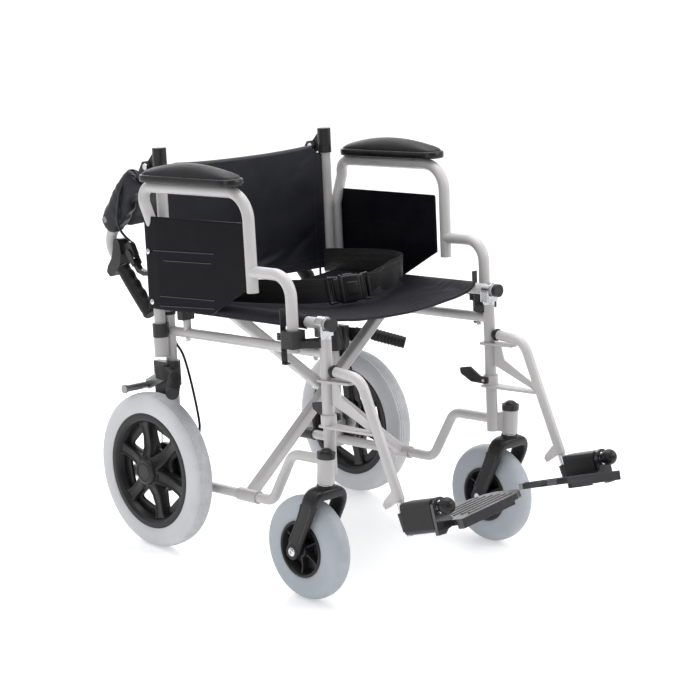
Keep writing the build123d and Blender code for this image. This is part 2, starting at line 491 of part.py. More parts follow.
# moulded lever housing clamped round the handle, with the cable entry nose
with BuildPart() as lever_housing:
    plate(HL, [(14, -36), (24, -43), (36, -40), (50, -30), (64, -10), (65.8, 24), (60, 34), (46, 36), (40, 24), (36, 0)], 27, round_r=5)
    plate(HL, [(34, -34), (44, -60), (52, -62), (74, -56), (72, -40), (50, -26)], 12, round_r=2)
    rod(UT(10, 0), UT(80, 0), POST_R + 0.02, mode=Mode.SUBTRACT)
    tube([U(-SIDE_X, REAR_Y, 900), U(-SIDE_X, REAR_Y, 984.3), UT(181, 0)], POST_R + 0.02, 36, mode=Mode.SUBTRACT)
    rod(UT(LEVER_T, LEVER_D, -SIDE_X - 15), UT(LEVER_T, LEVER_D, -SIDE_X + 15), 3.0 + RUN, mode=Mode.SUBTRACT)
save_pair(lever_housing, "lever_housing")

with BuildPart() as hand_lever:
    # pivot pin, two cheeks astride the housing and a curved blade ahead of the grip
    rod(UT(LEVER_T, LEVER_D, -SIDE_X - 9.5), UT(LEVER_T, LEVER_D, -SIDE_X + 9.5), 3.0)
    for lx in (-8.1, 8.1):
        plate(HL.offset(lx), [(54, -40), (54, -50), (66, -52), (90, -46), (90, -36), (66, -37)], 3.4, round_r=2)
    plate(HL, [(78, -36), (104, -35), (122, -46), (137, -66), (131, -71), (116, -54), (102, -44), (78, -45)], 12.8, round_r=2)
    plate(HL, [(76.5, -36), (90, -36), (90, -45), (76.5, -45)], 19.6)
save_pair(hand_lever, "hand_lever")

# ================================================================ cross brace with the seat rails
def brace(low_x, top_x, y, dy, bolt_hole):
    """One arm: a sleeve on the lower rail, a flat-sided tube, and the seat rail on top."""
    a, b = W(low_x, y, LOW_Z), W(top_x, y, SEAT_Z)
    d = (b - a).normalized()
    with BuildPart() as arm:
        with BuildSketch(Plane(origin=a, x_dir=W(0, 1, 0), z_dir=d)) as prof:
            RectangleRounded(BRACE_W, BRACE_T, 4.5)
        extrude(prof.sketch, amount=(b - a).length)
        with BuildSketch(Plane(origin=a, x_dir=W(0, 1, 0), z_dir=d)) as bore:
            RectangleRounded(BRACE_W - 2 * WALL, BRACE_T - 2 * WALL, 2)
        extrude(bore.sketch, amount=(b - a).length, mode=Mode.SUBTRACT)
        rod(W(low_x, y - 28, LOW_Z), W(low_x, y + 28, LOW_Z), 13)
        rod(W(top_x, -40, SEAT_Z), W(top_x, -490, SEAT_Z), SEAT_R)
        rod(W(top_x, -30, SEAT_Z), W(top_x, -495, SEAT_Z), SEAT_R - WALL, mode=Mode.SUBTRACT)
        rod(W(low_x, y - 40, LOW_Z), W(low_x, y + 40, LOW_Z), RAIL_R + RUN, mode=Mode.SUBTRACT)
        rod(W(0, y - 13, bolt_hole), W(0, y + 13, bolt_hole), 5.0 + dy, mode=Mode.SUBTRACT)
        # end plugs of the seat rail, separate mouldings
        rod(W(top_x, -490.05, SEAT_Z), W(top_x, -500, SEAT_Z), 13)
        rod(W(top_x, -478, SEAT_Z), W(top_x, -491, SEAT_Z), SEAT_R - WALL - 0.02)
        rod(W(top_x, -39.95, SEAT_Z), W(top_x, -35, SEAT_Z), 12)
    return arm


CROSS_Z = LOW_Z + (SEAT_Z - LOW_Z) * SIDE_X / (SIDE_X + SEAT_X)
brace_arm_a = brace(-SIDE_X, SEAT_X, BRACE_A_Y, 0.02, CROSS_Z)
save(brace_arm_a, "brace_arm_a")
brace_arm_b = brace(SIDE_X, -SEAT_X, BRACE_B_Y, RUN, CROSS_Z)
save(brace_arm_b, "brace_arm_b")

with BuildPart() as brace_bolt:
    rod(W(0, BRACE_A_Y - 12.5, CROSS_Z), W(0, BRACE_B_Y + 12.5, CROSS_Z), 5)
    hexbolt(W(0, BRACE_A_Y - 11.75, CROSS_Z), W(0, BRACE_A_Y - 17.7, CROSS_Z), 9)
    rod(W(0, BRACE_A_Y + 11.75, CROSS_Z), W(0, BRACE_B_Y - 11.75, CROSS_Z), 9)
    hexbolt(W(0, BRACE_B_Y + 11.75, CROSS_Z), W(0, BRACE_B_Y + 18.7, CROSS_Z), 9)
save(brace_bolt, "brace_bolt")

# ================================================================ upholstery and belt
with BuildPart() as seat_sling:
    block(PF((0, -262, 493), (0, 0, 1)), 2 * 214, 436, 3)
save(seat_sling, "seat_sling")

with BuildPart() as back_lower:
    block(PF((0, REAR_Y - 1.5, 640), (0, 1, 0), (1, 0, 0)), 2 * 209, 276, 3)
save(back_lower, "back_lower")

with BuildPart() as back_upper:
    with BuildSketch(Plane(origin=U(0, REAR_Y - 1.5, 900), x_dir=(1, 0, 0), z_dir=UD(0, 1, 0))) as bu:
        Rectangle(2 * 209, 140)
    extrude(bu.sketch, amount=3)
save(back_upper, "back_upper")

with BuildPart() as lap_belt:
    for pts in ([(-206, -60), (-150, -92), (-80, -150), (-30, -186)], [(46, -170), (90, -136), (140, -104), (206, -60)]):
        with BuildLine() as bp:
            Polyline(*[W(x, y, 523) for x, y in pts])
        o, d = bp.wires()[0] @ 0, bp.wires()[0] % 0
        with BuildSketch(Plane(origin=o, x_dir=W(0, 0, 1), z_dir=d)) as bs:
            Rectangle(48, 2.4)
        sweep(sections=bs.sketch, path=bp.wires()[0], transition=Transition.RIGHT)
save(lap_belt, "lap_belt")

with BuildPart() as belt_buckle:
    block(Plane(origin=W(8, -178, 526), x_dir=W(0.98, 0.20, 0), z_dir=W(0.20, -0.98, 0)).offset(-8), 66, 54, 16, 6)
save(belt_buckle, "belt_buckle")
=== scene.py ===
"""Looks of the folding transit wheelchair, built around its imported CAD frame. Metres, +Z up, -Y forward."""
import math
import bpy
import bmesh
import numpy as np
from mathutils import Vector, Matrix, noise


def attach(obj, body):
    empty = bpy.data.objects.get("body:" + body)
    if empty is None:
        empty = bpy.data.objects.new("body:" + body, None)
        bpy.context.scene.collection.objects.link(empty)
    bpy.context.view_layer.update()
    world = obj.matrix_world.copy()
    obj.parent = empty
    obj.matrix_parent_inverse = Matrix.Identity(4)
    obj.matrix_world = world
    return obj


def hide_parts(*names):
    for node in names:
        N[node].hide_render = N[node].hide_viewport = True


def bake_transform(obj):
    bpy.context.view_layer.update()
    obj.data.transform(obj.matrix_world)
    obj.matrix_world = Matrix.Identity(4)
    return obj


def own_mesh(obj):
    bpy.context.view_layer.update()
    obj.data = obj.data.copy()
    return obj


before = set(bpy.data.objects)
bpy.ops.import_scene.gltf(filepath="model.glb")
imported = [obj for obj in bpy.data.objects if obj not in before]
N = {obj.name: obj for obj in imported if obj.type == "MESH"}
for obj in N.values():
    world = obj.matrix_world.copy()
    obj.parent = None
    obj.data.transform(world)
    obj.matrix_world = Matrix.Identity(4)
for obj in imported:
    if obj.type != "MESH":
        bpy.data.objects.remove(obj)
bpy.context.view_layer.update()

scene = bpy.context.scene

# ------------------------------------------------------------------ placement (millimetres in, metres out)
P = math.radians(5.0)
CP, SP = math.cos(P), math.sin(P)
FOLD = math.radians(146.0)
PIV_Y, PIV_Z = 17.5, 763.4


def W(x, y, z):
    """A point of the pitched side frame."""
    return Vector((x, y * CP + z * SP, -y * SP + z * CP)) * 0.001


def WD(x, y, z):
    return Vector((x, y * CP + z * SP, -y * SP + z * CP)).normalized()


def U(x, y, z):
    """A point of the folded upper back, given where it stands when upright."""
    c, s = math.cos(FOLD), math.sin(FOLD)
    dy, dz = y - PIV_Y, z - PIV_Z
    return W(x, PIV_Y + dy * c + dz * s, PIV_Z - dy * s + dz * c)


def UT(t, d, x=-224.0):
    """A point of the push handle: t along it, d below its centreline."""
    hy, hz = 0.9724, 0.2334
    return U(x, -16 + hy * t + hz * d, 984.3 + hz * t - hy * d)


def V(x, y, z):
    return Vector((x, y, z)) * 0.001


def lerp(a, b, t):
    return a + (b - a) * t


def smooth(a, b, t):
    t = min(1.0, max(0.0, (t - a) / (b - a)))
    return t * t * (3 - 2 * t)


def interp(x, table):
    """Smooth table lookup: [(x, value)] sorted by x."""
    if x <= table[0][0]:
        return table[0][1]
    for (x0, v0), (x1, v1) in zip(table, table[1:]):
        if x <= x1:
            t = (x - x0) / (x1 - x0)
            return v0 + (v1 - v0) * t * t * (3 - 2 * t)
    return table[-1][1]


def wob(p, scale, seed=0.0):
    """Smooth noise in -1..1."""
    return noise.noise(Vector((p[0] * scale + seed, p[1] * scale - seed * 0.7, p[2] * scale + seed * 1.3)))


# ------------------------------------------------------------------ materials
class Nodes:
    """A short way to write a node material."""

    def __init__(self, name):
        m = bpy.data.materials.new(name)
        m.use_nodes = True
        self.m, self.t = m, m.node_tree
        self.b = self.t.nodes["Principled BSDF"]
        self.n = 0

    def node(self, kind, **values):
        n = self.t.nodes.new(kind)
        self.n += 1
        n.location = (-200 * (1 + self.n % 8), 200 - 60 * self.n)
        for k, v in values.items():
            setattr(n, k, v)
        return n

    def link(self, a, b):
        self.t.links.new(a, b)

    def put(self, socket, v):
        if isinstance(v, bpy.types.NodeSocket):
            self.link(v, socket)
        else:
            socket.default_value = v

    def co(self, kind="Object", scale=(1, 1, 1), rot=(0, 0, 0)):
        t = self.node("ShaderNodeTexCoord")
        m = self.node("ShaderNodeMapping")
        m.inputs["Scale"].default_value = scale
        m.inputs["Rotation"].default_value = rot
        self.link(t.outputs[kind], m.inputs["Vector"])
        return m.outputs["Vector"]

    def noise(self, scale, detail=3.0, rough=0.5, vec=None, dist=0.0):
        n = self.node("ShaderNodeTexNoise")
        n.inputs["Scale"].default_value = scale
        n.inputs["Detail"].default_value = detail
        n.inputs["Roughness"].default_value = rough
        n.inputs["Distortion"].default_value = dist
        self.link(vec if vec is not None else self.co(), n.inputs["Vector"])
        return n.outputs["Fac"]

    def voronoi(self, scale, feature="F1", vec=None, out="Distance"):
        n = self.node("ShaderNodeTexVoronoi", feature=feature)
        n.inputs["Scale"].default_value = scale
        self.link(vec if vec is not None else self.co(), n.inputs["Vector"])
        return n.outputs[out]

    def wave(self, scale, vec, direction="X", profile="SIN", dist=0.0):
        n = self.node("ShaderNodeTexWave", wave_type="BANDS", bands_direction=direction, wave_profile=profile)
        n.inputs["Scale"].default_value = scale
        n.inputs["Distortion"].default_value = dist
        self.link(vec, n.inputs["Vector"])
        return n.outputs["Fac"]

    def math(self, op, a, b=0.0, c=0.0, clamp=False):
        n = self.node("ShaderNodeMath", operation=op, use_clamp=clamp)
        self.put(n.inputs[0], a)
        self.put(n.inputs[1], b)
        if len(n.inputs) > 2:
            self.put(n.inputs[2], c)
        return n.outputs[0]

    def ramp(self, fac, lo, hi, a=0.0, b=1.0):
        n = self.node("ShaderNodeMapRange")
        n.inputs["From Min"].default_value = lo
        n.inputs["From Max"].default_value = hi
        n.inputs["To Min"].default_value = a
        n.inputs["To Max"].default_value = b
        self.link(fac, n.inputs["Value"])
        return n.outputs["Result"]

    def mix(self, fac, a, b):
        n = self.node("ShaderNodeMix", data_type="RGBA")
        self.put(n.inputs["Factor"], fac)
        self.put(n.inputs[6], a if isinstance(a, bpy.types.NodeSocket) else (*a, 1.0))
        self.put(n.inputs[7], b if isinstance(b, bpy.types.NodeSocket) else (*b, 1.0))
        return n.outputs[2]

    def bump(self, height, strength, distance, normal=None):
        n = self.node("ShaderNodeBump")
        n.inputs["Strength"].default_value = strength
        n.inputs["Distance"].default_value = distance
        self.link(height, n.inputs["Height"])
        if normal is not None:
            self.link(normal, n.inputs["Normal"])
        return n.outputs["Normal"]

    def edges(self):
        """About 0.5 on flats, higher on worn corners."""
        return self.node("ShaderNodeNewGeometry").outputs["Pointiness"]

    def xyz(self):
        t = self.node("ShaderNodeTexCoord")
        s = self.node("ShaderNodeSeparateXYZ")
        self.link(t.outputs["Object"], s.inputs[0])
        return s.outputs

    def bevel(self, radius):
        n = self.node("ShaderNodeBevel", samples=4)
        n.inputs["Radius"].default_value = radius
        return n.outputs["Normal"]

    def done(self, color, rough, normal=None, metal=0.0, **more):
        b = self.b
        self.put(b.inputs["Base Color"], color if isinstance(color, bpy.types.NodeSocket) else (*color, 1.0))
        self.put(b.inputs["Roughness"], rough)
        self.put(b.inputs["Metallic"], metal)
        if normal is not None:
            self.link(normal, b.inputs["Normal"])
        for k, v in more.items():
            self.put(b.inputs[k.replace("_", " ")], v)
        return self.m


def paint_material(name="paint", base=(0.535, 0.520, 0.515)):
    s = Nodes(name)
    cloud = s.noise(9, 4)
    fine = s.noise(1400, 2)
    dark = tuple(c * 0.90 for c in base)
    light = tuple(min(1, c * 1.05) for c in base)
    col = s.mix(s.ramp(cloud, 0.3, 0.7), dark, light)
    wear = s.ramp(s.math("ADD", s.edges(), s.math("MULTIPLY", s.noise(160, 4), 0.05)), 0.56, 0.62)
    col = s.mix(s.math("MULTIPLY", wear, 0.35), col, (0.30, 0.29, 0.29))
    scuff = s.ramp(s.noise(38, 6, 0.7, s.co(scale=(1, 1, 0.3))), 0.66, 0.74)
    col = s.mix(s.math("MULTIPLY", scuff, 0.10), col, (0.38, 0.37, 0.36))
    rough = s.math("ADD", s.ramp(fine, 0.2, 0.8, 0.30, 0.40), s.math("MULTIPLY", scuff, 0.15))
    nrm = s.bump(fine, 0.10, 0.0003, s.bump(s.noise(260, 2), 0.10, 0.0006, s.bevel(0.0006)))
    return s.done(col, rough, nrm, Coat_Weight=0.25, Coat_Roughness=0.18)


def steel_material(name="steel", base=(0.66, 0.66, 0.68), rough=0.17):
    s = Nodes(name)
    streak = s.noise(220, 4, 0.6, s.co(scale=(0.12, 1, 1)))
    grime = s.ramp(s.noise(55, 5, 0.65), 0.52, 0.75)
    col = s.mix(s.math("MULTIPLY", grime, 0.4), base, (0.33, 0.32, 0.31))
    r = s.math("ADD", s.ramp(streak, 0.3, 0.7, rough - 0.05, rough + 0.08), s.math("MULTIPLY", grime, 0.15))
    return s.done(col, r, s.bump(streak, 0.08, 0.0003, s.bevel(0.0005)), 1.0)


def plastic_material(name, base, rough, grain=900.0, depth=0.00025, strength=0.25, lift=2.2, bevel=0.0009, **more):
    """Moulded plastic: fine spark grain, cloudy gloss, lighter rubbed edges and a little dust."""
    s = Nodes(name)
    g = s.noise(grain, 3, 0.6)
    cloud = s.noise(24, 4, 0.6)
    hi = tuple(min(1.0, c * lift + 0.004) for c in base)
    col = s.mix(s.ramp(cloud, 0.35, 0.7), base, tuple(lerp(a, b, 0.35) for a, b in zip(base, hi)))
    wear = s.ramp(s.math("ADD", s.edges(), s.math("MULTIPLY", s.noise(240, 4), 0.06)), 0.55, 0.66)
    col = s.mix(s.math("MULTIPLY", wear, 0.55), col, tuple(min(1.0, c * 3.0 + 0.02) for c in base))
    dust = s.ramp(s.noise(90, 6, 0.75), 0.60, 0.80)
    col = s.mix(s.math("MULTIPLY", dust, 0.05), col, (0.30, 0.29, 0.28))
    r = s.math("ADD", s.ramp(cloud, 0.3, 0.7, rough - 0.05, rough + 0.06), s.math("MULTIPLY", wear, -0.06))
    nrm = s.bump(g, strength, depth, s.bevel(bevel) if bevel else None)
    more.setdefault("Specular_IOR_Level", 0.30)
    return s.done(col, r, nrm, **more)


def tyre_material(name, base, centre_z, centre_y, tread_r):
    s = Nodes(name)
    x, y, z = s.xyz()
    dy = s.math("SUBTRACT", y, centre_y)
    dz = s.math("SUBTRACT", z, centre_z)
    r = s.math("SQRT", s.math("ADD", s.math("MULTIPLY", dy, dy), s.math("MULTIPLY", dz, dz)))
    cloud = s.noise(14, 5, 0.6)
    col = s.mix(s.ramp(cloud, 0.3, 0.7), tuple(c * 0.93 for c in base), tuple(min(1, c * 1.04) for c in base))
    tread = s.math("MULTIPLY", s.ramp(r, tread_r - 0.006, tread_r), s.ramp(s.noise(45, 6, 0.7), 0.35, 0.75))
    col = s.mix(s.math("MULTIPLY", tread, 0.32), col, (0.20, 0.20, 0.20))
    spots = s.ramp(s.noise(210, 4, 0.8), 0.68, 0.80)
    col = s.mix(s.math("MULTIPLY", spots, 0.16), col, (0.22, 0.22, 0.23))
    nrm = s.bump(s.noise(1600, 3), 0.22, 0.0003, s.bump(s.noise(120, 3), 0.12, 0.0008))
    return s.done(col, s.ramp(cloud, 0.3, 0.7, 0.50, 0.62), nrm, Specular_IOR_Level=0.4)


def nylon_material(name, base=(0.0085, 0.0085, 0.0105), pitch=0.0011, rough=0.46, weave=0.35, sheen=0.02, wrinkle=0.4, spec=0.22):
    """Coated nylon: a plain weave on the sheet's own UVs, in metres, with soft creasing."""
    s = Nodes(name)
    uv = s.co("UV")
    k = 1.0 / pitch / 20.0 * math.pi * 2
    a = s.wave(k, uv, "X")
    b = s.wave(k, uv, "Y")
    sep = s.node("ShaderNodeSeparateXYZ")
    s.link(uv, sep.inputs[0])
    check = s.math("MULTIPLY", s.math("SINE", s.math("MULTIPLY", sep.outputs[0], math.pi / pitch)),
                   s.math("SINE", s.math("MULTIPLY", sep.outputs[1], math.pi / pitch)))
    h = s.math("ADD", s.math("MULTIPLY", s.math("MAXIMUM", a, b), 0.5), s.math("MULTIPLY", check, 0.5))
    cloud = s.noise(11, 5, 0.6)
    crease = s.noise(30, 5, 0.62, s.co(scale=(1, 1, 1)), 0.6)
    col = s.mix(s.ramp(cloud, 0.3, 0.75), base, tuple(c * 1.9 + 0.001 for c in base))
    # Lighter on the raised threads of the weave and darker between them: painted highlight and shade of the weave.
    col = s.mix(s.ramp(h, 0.1, 0.9, 0.0, 0.4), col, tuple(c * 2.6 + 0.002 for c in base))
    lint = s.ramp(s.noise(700, 2, 0.5), 0.74, 0.80)
    col = s.mix(s.math("MULTIPLY", lint, 0.10), col, (0.25, 0.25, 0.26))
    r = s.math("ADD", s.ramp(cloud, 0.3, 0.7, rough - 0.06, rough + 0.07), s.math("MULTIPLY", h, 0.05))
    nrm = s.bump(h, weave, 0.00022, s.bump(crease, wrinkle, 0.0022))
    return s.done(col, r, nrm, Sheen_Weight=sheen, Sheen_Roughness=0.4, Specular_IOR_Level=spec)


def webbing_material(name="webbing_weave", base=(0.010, 0.010, 0.011)):
    """Woven seat-belt webbing: ribs along the strap with a herringbone of picks across."""
    s = Nodes(name)
    t = s.node("ShaderNodeTexCoord")
    sep = s.node("ShaderNodeSeparateXYZ")
    s.link(t.outputs["UV"], sep.inputs[0])
    u, v = sep.outputs[0], sep.outputs[1]
    rib = s.math("SINE", s.math("MULTIPLY", v, 2 * math.pi / 0.0032))
    zig = s.math("PINGPONG", v, 0.0064)
    pick = s.math("SINE", s.math("MULTIPLY", s.math("ADD", u, s.math("MULTIPLY", zig, 0.8)), 2 * math.pi / 0.0015))
    h = s.math("ADD", s.math("MULTIPLY", rib, 0.5), s.math("MULTIPLY", pick, 0.5))
    cloud = s.noise(28, 4)
    # Colour follows the weave height: darker in the grooves, lighter on the raised ribs and picks, a painted shade and
    # highlight of the weave.
    col = s.mix(s.ramp(h, -0.8, 0.9), tuple(c * 0.5 for c in base), tuple(c * 2.4 for c in base))
    col = s.mix(s.ramp(cloud, 0.35, 0.75, 0, 0.5), col, tuple(c * 2.2 for c in base))
    r = s.ramp(h, -0.8, 0.8, 0.62, 0.44)
    return s.done(col, r, s.bump(h, 0.6, 0.00035), Sheen_Weight=0.03, Sheen_Roughness=0.45, Specular_IOR_Level=0.25)


def vinyl_material(name="pad_skin", base=(0.0075, 0.0072, 0.0080)):
    """Self-skinned foam: leather grain, glossy on the worn crown."""
    s = Nodes(name)
    cells = s.voronoi(620, "DISTANCE_TO_EDGE")
    g = s.ramp(cells, 0.0, 0.12)
    fine = s.noise(1500, 3)
    cloud = s.noise(26, 4)
    col = s.mix(s.ramp(cloud, 0.3, 0.7), base, tuple(c * 1.9 for c in base))
    worn = s.ramp(s.noise(18, 3, 0.5, s.co(scale=(1, 0.4, 1))), 0.40, 0.65)
    r = s.math("SUBTRACT", s.ramp(g, 0, 1, 0.55, 0.45), s.math("MULTIPLY", worn, 0.05))
    nrm = s.bump(fine, 0.12, 0.0002, s.bump(g, 0.28, 0.00022))
    return s.done(col, r, nrm, Specular_IOR_Level=0.30)


PAINT = paint_material()
STEEL = steel_material()
DARK_STEEL = steel_material("dark_steel", (0.30, 0.30, 0.31), 0.30)
PLASTIC = plastic_material("moulded_black", (0.0085, 0.0082, 0.0088), 0.36)
GLOSSY = plastic_material("gloss_black", (0.0075, 0.0072, 0.0080), 0.30, 700, 0.00015, 0.10, Specular_IOR_Level=0.35)
RUBBER = plastic_material("soft_rubber", (0.0095, 0.0095, 0.0098), 0.58, 1300, 0.0003, 0.35)
CABLE = plastic_material("cable_sheath", (0.0085, 0.0085, 0.009), 0.34, 1500, 0.0001, 0.15, bevel=0)
RIM = plastic_material("rim_nylon", (0.0100, 0.0090, 0.0100), 0.34, 800, 0.0002, 0.22)
FORK = plastic_material("fork_nylon", (0.0095, 0.0088, 0.0098), 0.32, 900, 0.0002, 0.22)
TREAD = plastic_material("tread_black", (0.0100, 0.0095, 0.0112), 0.21, 1100, 0.0001, 0.10, Specular_IOR_Level=0.75)
PANEL = plastic_material("panel_sheet", (0.0036, 0.0030, 0.0052), 0.44, 1000, 0.00025, 0.30, 1.8, Specular_IOR_Level=0.10)
# Thin lines on the side panel, about ten times lighter than the panel: painted highlight of its embossed lines.
PANEL_LINE_HIGHLIGHT = plastic_material("guard_line_highlight", (0.045, 0.044, 0.055), 0.40, 1400, 0.0001, 0.2, bevel=0)
TYRE_REAR = tyre_material("tyre_rear", (0.585, 0.590, 0.610), 0.158, 0.0, 0.156)
TYRE_CASTOR = tyre_material("tyre_castor", (0.40, 0.435, 0.468), 0.1005, -0.4288, 0.0985)
NYLON = nylon_material("coated_nylon", (0.0075, 0.0078, 0.0115), 0.0010, 0.40, 0.22, 0.02, 0.30, 0.26)
NYLON_SEAT = nylon_material("seat_nylon", (0.0066, 0.0062, 0.0092), 0.0012, 0.52, 0.36, 0.01, 0.35, 0.12)
WEBBING = webbing_material()
VINYL = vinyl_material()
THREAD = plastic_material("thread", (0.020, 0.020, 0.022), 0.60, 2500, 0.0002, 0.5, bevel=0)


def by_place(name, inside, outside, axis, low=None, high=None, axis2=None, low2=None, high2=None):
    """Mixes two finished materials by where the point lies: inside applies between low and high."""
    s = Nodes(name)
    tree = s.t
    out = next(n for n in tree.nodes if n.type == "OUTPUT_MATERIAL")
    tree.nodes.remove(s.b)
    x = s.xyz()

    def window(ax, lo, hi):
        f = None
        if lo is not None:
            f = s.math("GREATER_THAN", x[ax], lo)
        if hi is not None:
            g = s.math("LESS_THAN", x[ax], hi)
            f = g if f is None else s.math("MULTIPLY", f, g)
        return f

    fac = window(axis, low, high)
    if axis2 is not None:
        fac = s.math("MULTIPLY", fac, window(axis2, low2, high2))
    mixer = s.node("ShaderNodeMixShader")
    s.link(fac, mixer.inputs[0])
    for i, m in ((1, outside), (2, inside)):
        s.link(copy_into(s, m), mixer.inputs[i])
    s.link(mixer.outputs[0], out.inputs["Surface"])
    return s.m


def copy_into(s, m):
    """Copies another material's nodes into s and returns its shader output."""
    made = {}
    for n in m.node_tree.nodes:
        if n.type == "OUTPUT_MATERIAL":
            continue
        c = s.t.nodes.new(n.bl_idname)
        for p in ("operation", "use_clamp", "data_type", "feature", "wave_type", "bands_direction", "wave_profile", "samples"):
            if hasattr(n, p):
                try:
                    setattr(c, p, getattr(n, p))
                except Exception:
                    pass
        for i, k in enumerate(n.inputs):
            if hasattr(k, "default_value") and i < len(c.inputs):
                try:
                    c.inputs[i].default_value = k.default_value
                except Exception:
                    pass
        made[n] = c
    for l in m.node_tree.links:
        if l.to_node in made and l.from_node in made:
            a = list(l.from_node.outputs).index(l.from_socket)
            b = list(l.to_node.inputs).index(l.to_socket)
            s.t.links.new(made[l.from_node].outputs[a], made[l.to_node].inputs[b])
    return next(c.outputs[0] for n, c in made.items() if n.type == "BSDF_PRINCIPLED")


BRACE_PAINT = by_place("brace_paint_and_plugs", PAINT, PLASTIC, 1, -0.4455, -0.0)
SADDLES = by_place("fittings_with_steel_saddle", STEEL, PLASTIC, 1, None, -0.4105, 2, 0.5006, None)
HINGE = by_place("push_tube_paint_and_hinge", PLASTIC, PAINT, 2, 0.712, None)
HANGER = by_place("hanger_paint_and_insert", STEEL, PAINT, 2, None, 0.2345, 1, None, -0.6300)


def dress(node, material):
    me = N[node].data
    if not me.materials:
        me.materials.append(material)
    for i in range(len(me.materials)):
        me.materials[i] = material


LOOK = {
    "side_frame": PAINT, "frame_bolts": STEEL, "back_hinge": PLASTIC, "frame_fittings": SADDLES, "brake_plate": DARK_STEEL,
    "brake_body": PLASTIC, "parking_lever": RUBBER, "brake_shoe": DARK_STEEL, "castor_fork": FORK, "castor_axle": STEEL,
    "castor_rim": RIM, "castor_tyre": TYRE_CASTOR, "rear_rim": RIM, "rear_tyre": TYRE_REAR, "hanger_tube": HANGER,
    "hanger_latch": PLASTIC, "footplate_housing": PLASTIC, "footplate": TREAD, "arm_tube": PAINT, "arm_pad": VINYL,
    "side_panel": PANEL, "arm_latch": PLASTIC, "push_tube": HINGE, "push_grip": RUBBER, "lever_housing": PLASTIC,
    "hand_lever": PLASTIC,
}
for side in ("right_", "left_"):
    for node, look in LOOK.items():
        dress(side + node, look)
for node, look in {"brace_arm_a": BRACE_PAINT, "brace_arm_b": BRACE_PAINT, "brace_bolt": STEEL, "seat_sling": NYLON_SEAT,
                   "back_lower": NYLON, "back_upper": NYLON, "lap_belt": WEBBING, "belt_buckle": GLOSSY}.items():
    dress(node, look)


# ------------------------------------------------------------------ mesh tools
def mesh_piece(name, verts, faces, material, uvs=None, sharp=40.0, weld=0.0):
    me = bpy.data.meshes.new(name)
    me.from_pydata([tuple(v) for v in verts], [], faces)
    me.update()
    if uvs is not None:
        layer = me.uv_layers.new(name="UVMap")
        for loop in me.loops:
            layer.data[loop.index].uv = uvs[loop.vertex_index]
    bm = bmesh.new()
    bm.from_mesh(me)
    if weld:
        bmesh.ops.remove_doubles(bm, verts=bm.verts, dist=weld)
    bmesh.ops.recalc_face_normals(bm, faces=bm.faces)
    bm.to_mesh(me)
    bm.free()
    for p in me.polygons:
        p.use_smooth = True
    me.set_sharp_from_angle(angle=math.radians(sharp))
    me.materials.append(material)
    o = bpy.data.objects.new(name, me)
    scene.collection.objects.link(o)
    return o


def mirrored(o, name):
    """A left-hand twin of a right-hand piece."""
    me = o.data.copy()
    me.transform(Matrix.Scale(-1, 4, (1, 0, 0)))
    me.flip_normals()
    t = bpy.data.objects.new(name, me)
    scene.collection.objects.link(t)
    return t


def join_parts(parts):
    """[(verts, faces)] to one (verts, faces)."""
    vs, fs = [], []
    for v, f in parts:
        k = len(vs)
        vs += list(v)
        fs += [tuple(i + k for i in q) for q in f]
    return vs, fs


def path_frames(pts, up=None):
    """Positions with tangent, side and up at each, carried along without twist."""
    pts = [Vector(p) for p in pts]
    out = []
    last = None
    for i, p in enumerate(pts):
        a = pts[max(0, i - 1)]
        b = pts[min(len(pts) - 1, i + 1)]
        t = (b - a).normalized()
        if up is not None:
            u = up if isinstance(up, Vector) else up[i]
            s = t.cross(u).normalized()
        elif last is None:
            ref = Vector((0, 0, 1)) if abs(t.z) < 0.9 else Vector((0, 1, 0))
            s = t.cross(ref).normalized()
        else:
            s = (last - t * last.dot(t)).normalized()
        last = s
        out.append((p, t, s, s.cross(t).normalized()))
    return out


def resample(ctrl, step):
    """Catmull-Rom curve through control points, at about that spacing."""
    c = [Vector(p) for p in ctrl]
    c = [c[0] * 2 - c[1]] + c + [c[-1] * 2 - c[-2]]
    out = []
    for i in range(1, len(c) - 2):
        n = max(2, int((c[i + 1] - c[i]).length / step))
        for k in range(n):
            t = k / n
            a, b, d, e = c[i - 1], c[i], c[i + 1], c[i + 2]
            out.append(0.5 * ((2 * b) + (d - a) * t + (2 * a - 5 * b + 4 * d - e) * t * t + (3 * b - a - 3 * d + e) * t ** 3))
    out.append(c[-2])
    return out


def loft(frames, ring, n, closed_ends=True):
    """ring(i, frame) gives the points of section i; every section has n points."""
    vs, fs = [], []
    for i, f in enumerate(frames):
        vs += ring(i, f)
    m = len(frames)
    for i in range(m - 1):
        for k in range(n):
            a, b = i * n + k, i * n + (k + 1) % n
            fs.append((a, b, b + n, a + n))
    if closed_ends:
        fs.append(tuple(reversed(range(n))))
        fs.append(tuple((m - 1) * n + k for k in range(n)))
    return vs, fs


def tube_part(ctrl, r, seg=14, step=0.004, radius=None, dome=True, straight=False):
    """A round tube or rod with rounded ends. radius(i, count, angle) may scale it."""
    pts = [Vector(p) for p in ctrl] if straight else resample(ctrl, step)
    if dome:
        t0 = (pts[0] - pts[1]).normalized()
        t1 = (pts[-1] - pts[-2]).normalized()
        e = min(r * 0.35, 0.0012)
        pts = [pts[0] - t0 * 0, pts[0] - t0 * e] + pts[1:-1] + [pts[-1] - t1 * e, pts[-1]]
    fr = path_frames(pts)
    m = len(fr)

    def ring(i, f):
        p, t, s, u = f
        k = 1.0
        if dome and i in (0, m - 1):
            k = 1 - min(r * 0.35, 0.0012) / r
        out = []
        for j in range(seg):
            a = 2 * math.pi * j / seg
            q = r * k * (radius(i, m, a) if radius else 1.0)
            out.append(p + s * math.cos(a) * q + u * math.sin(a) * q)
        return out

    return loft(fr, ring, seg)


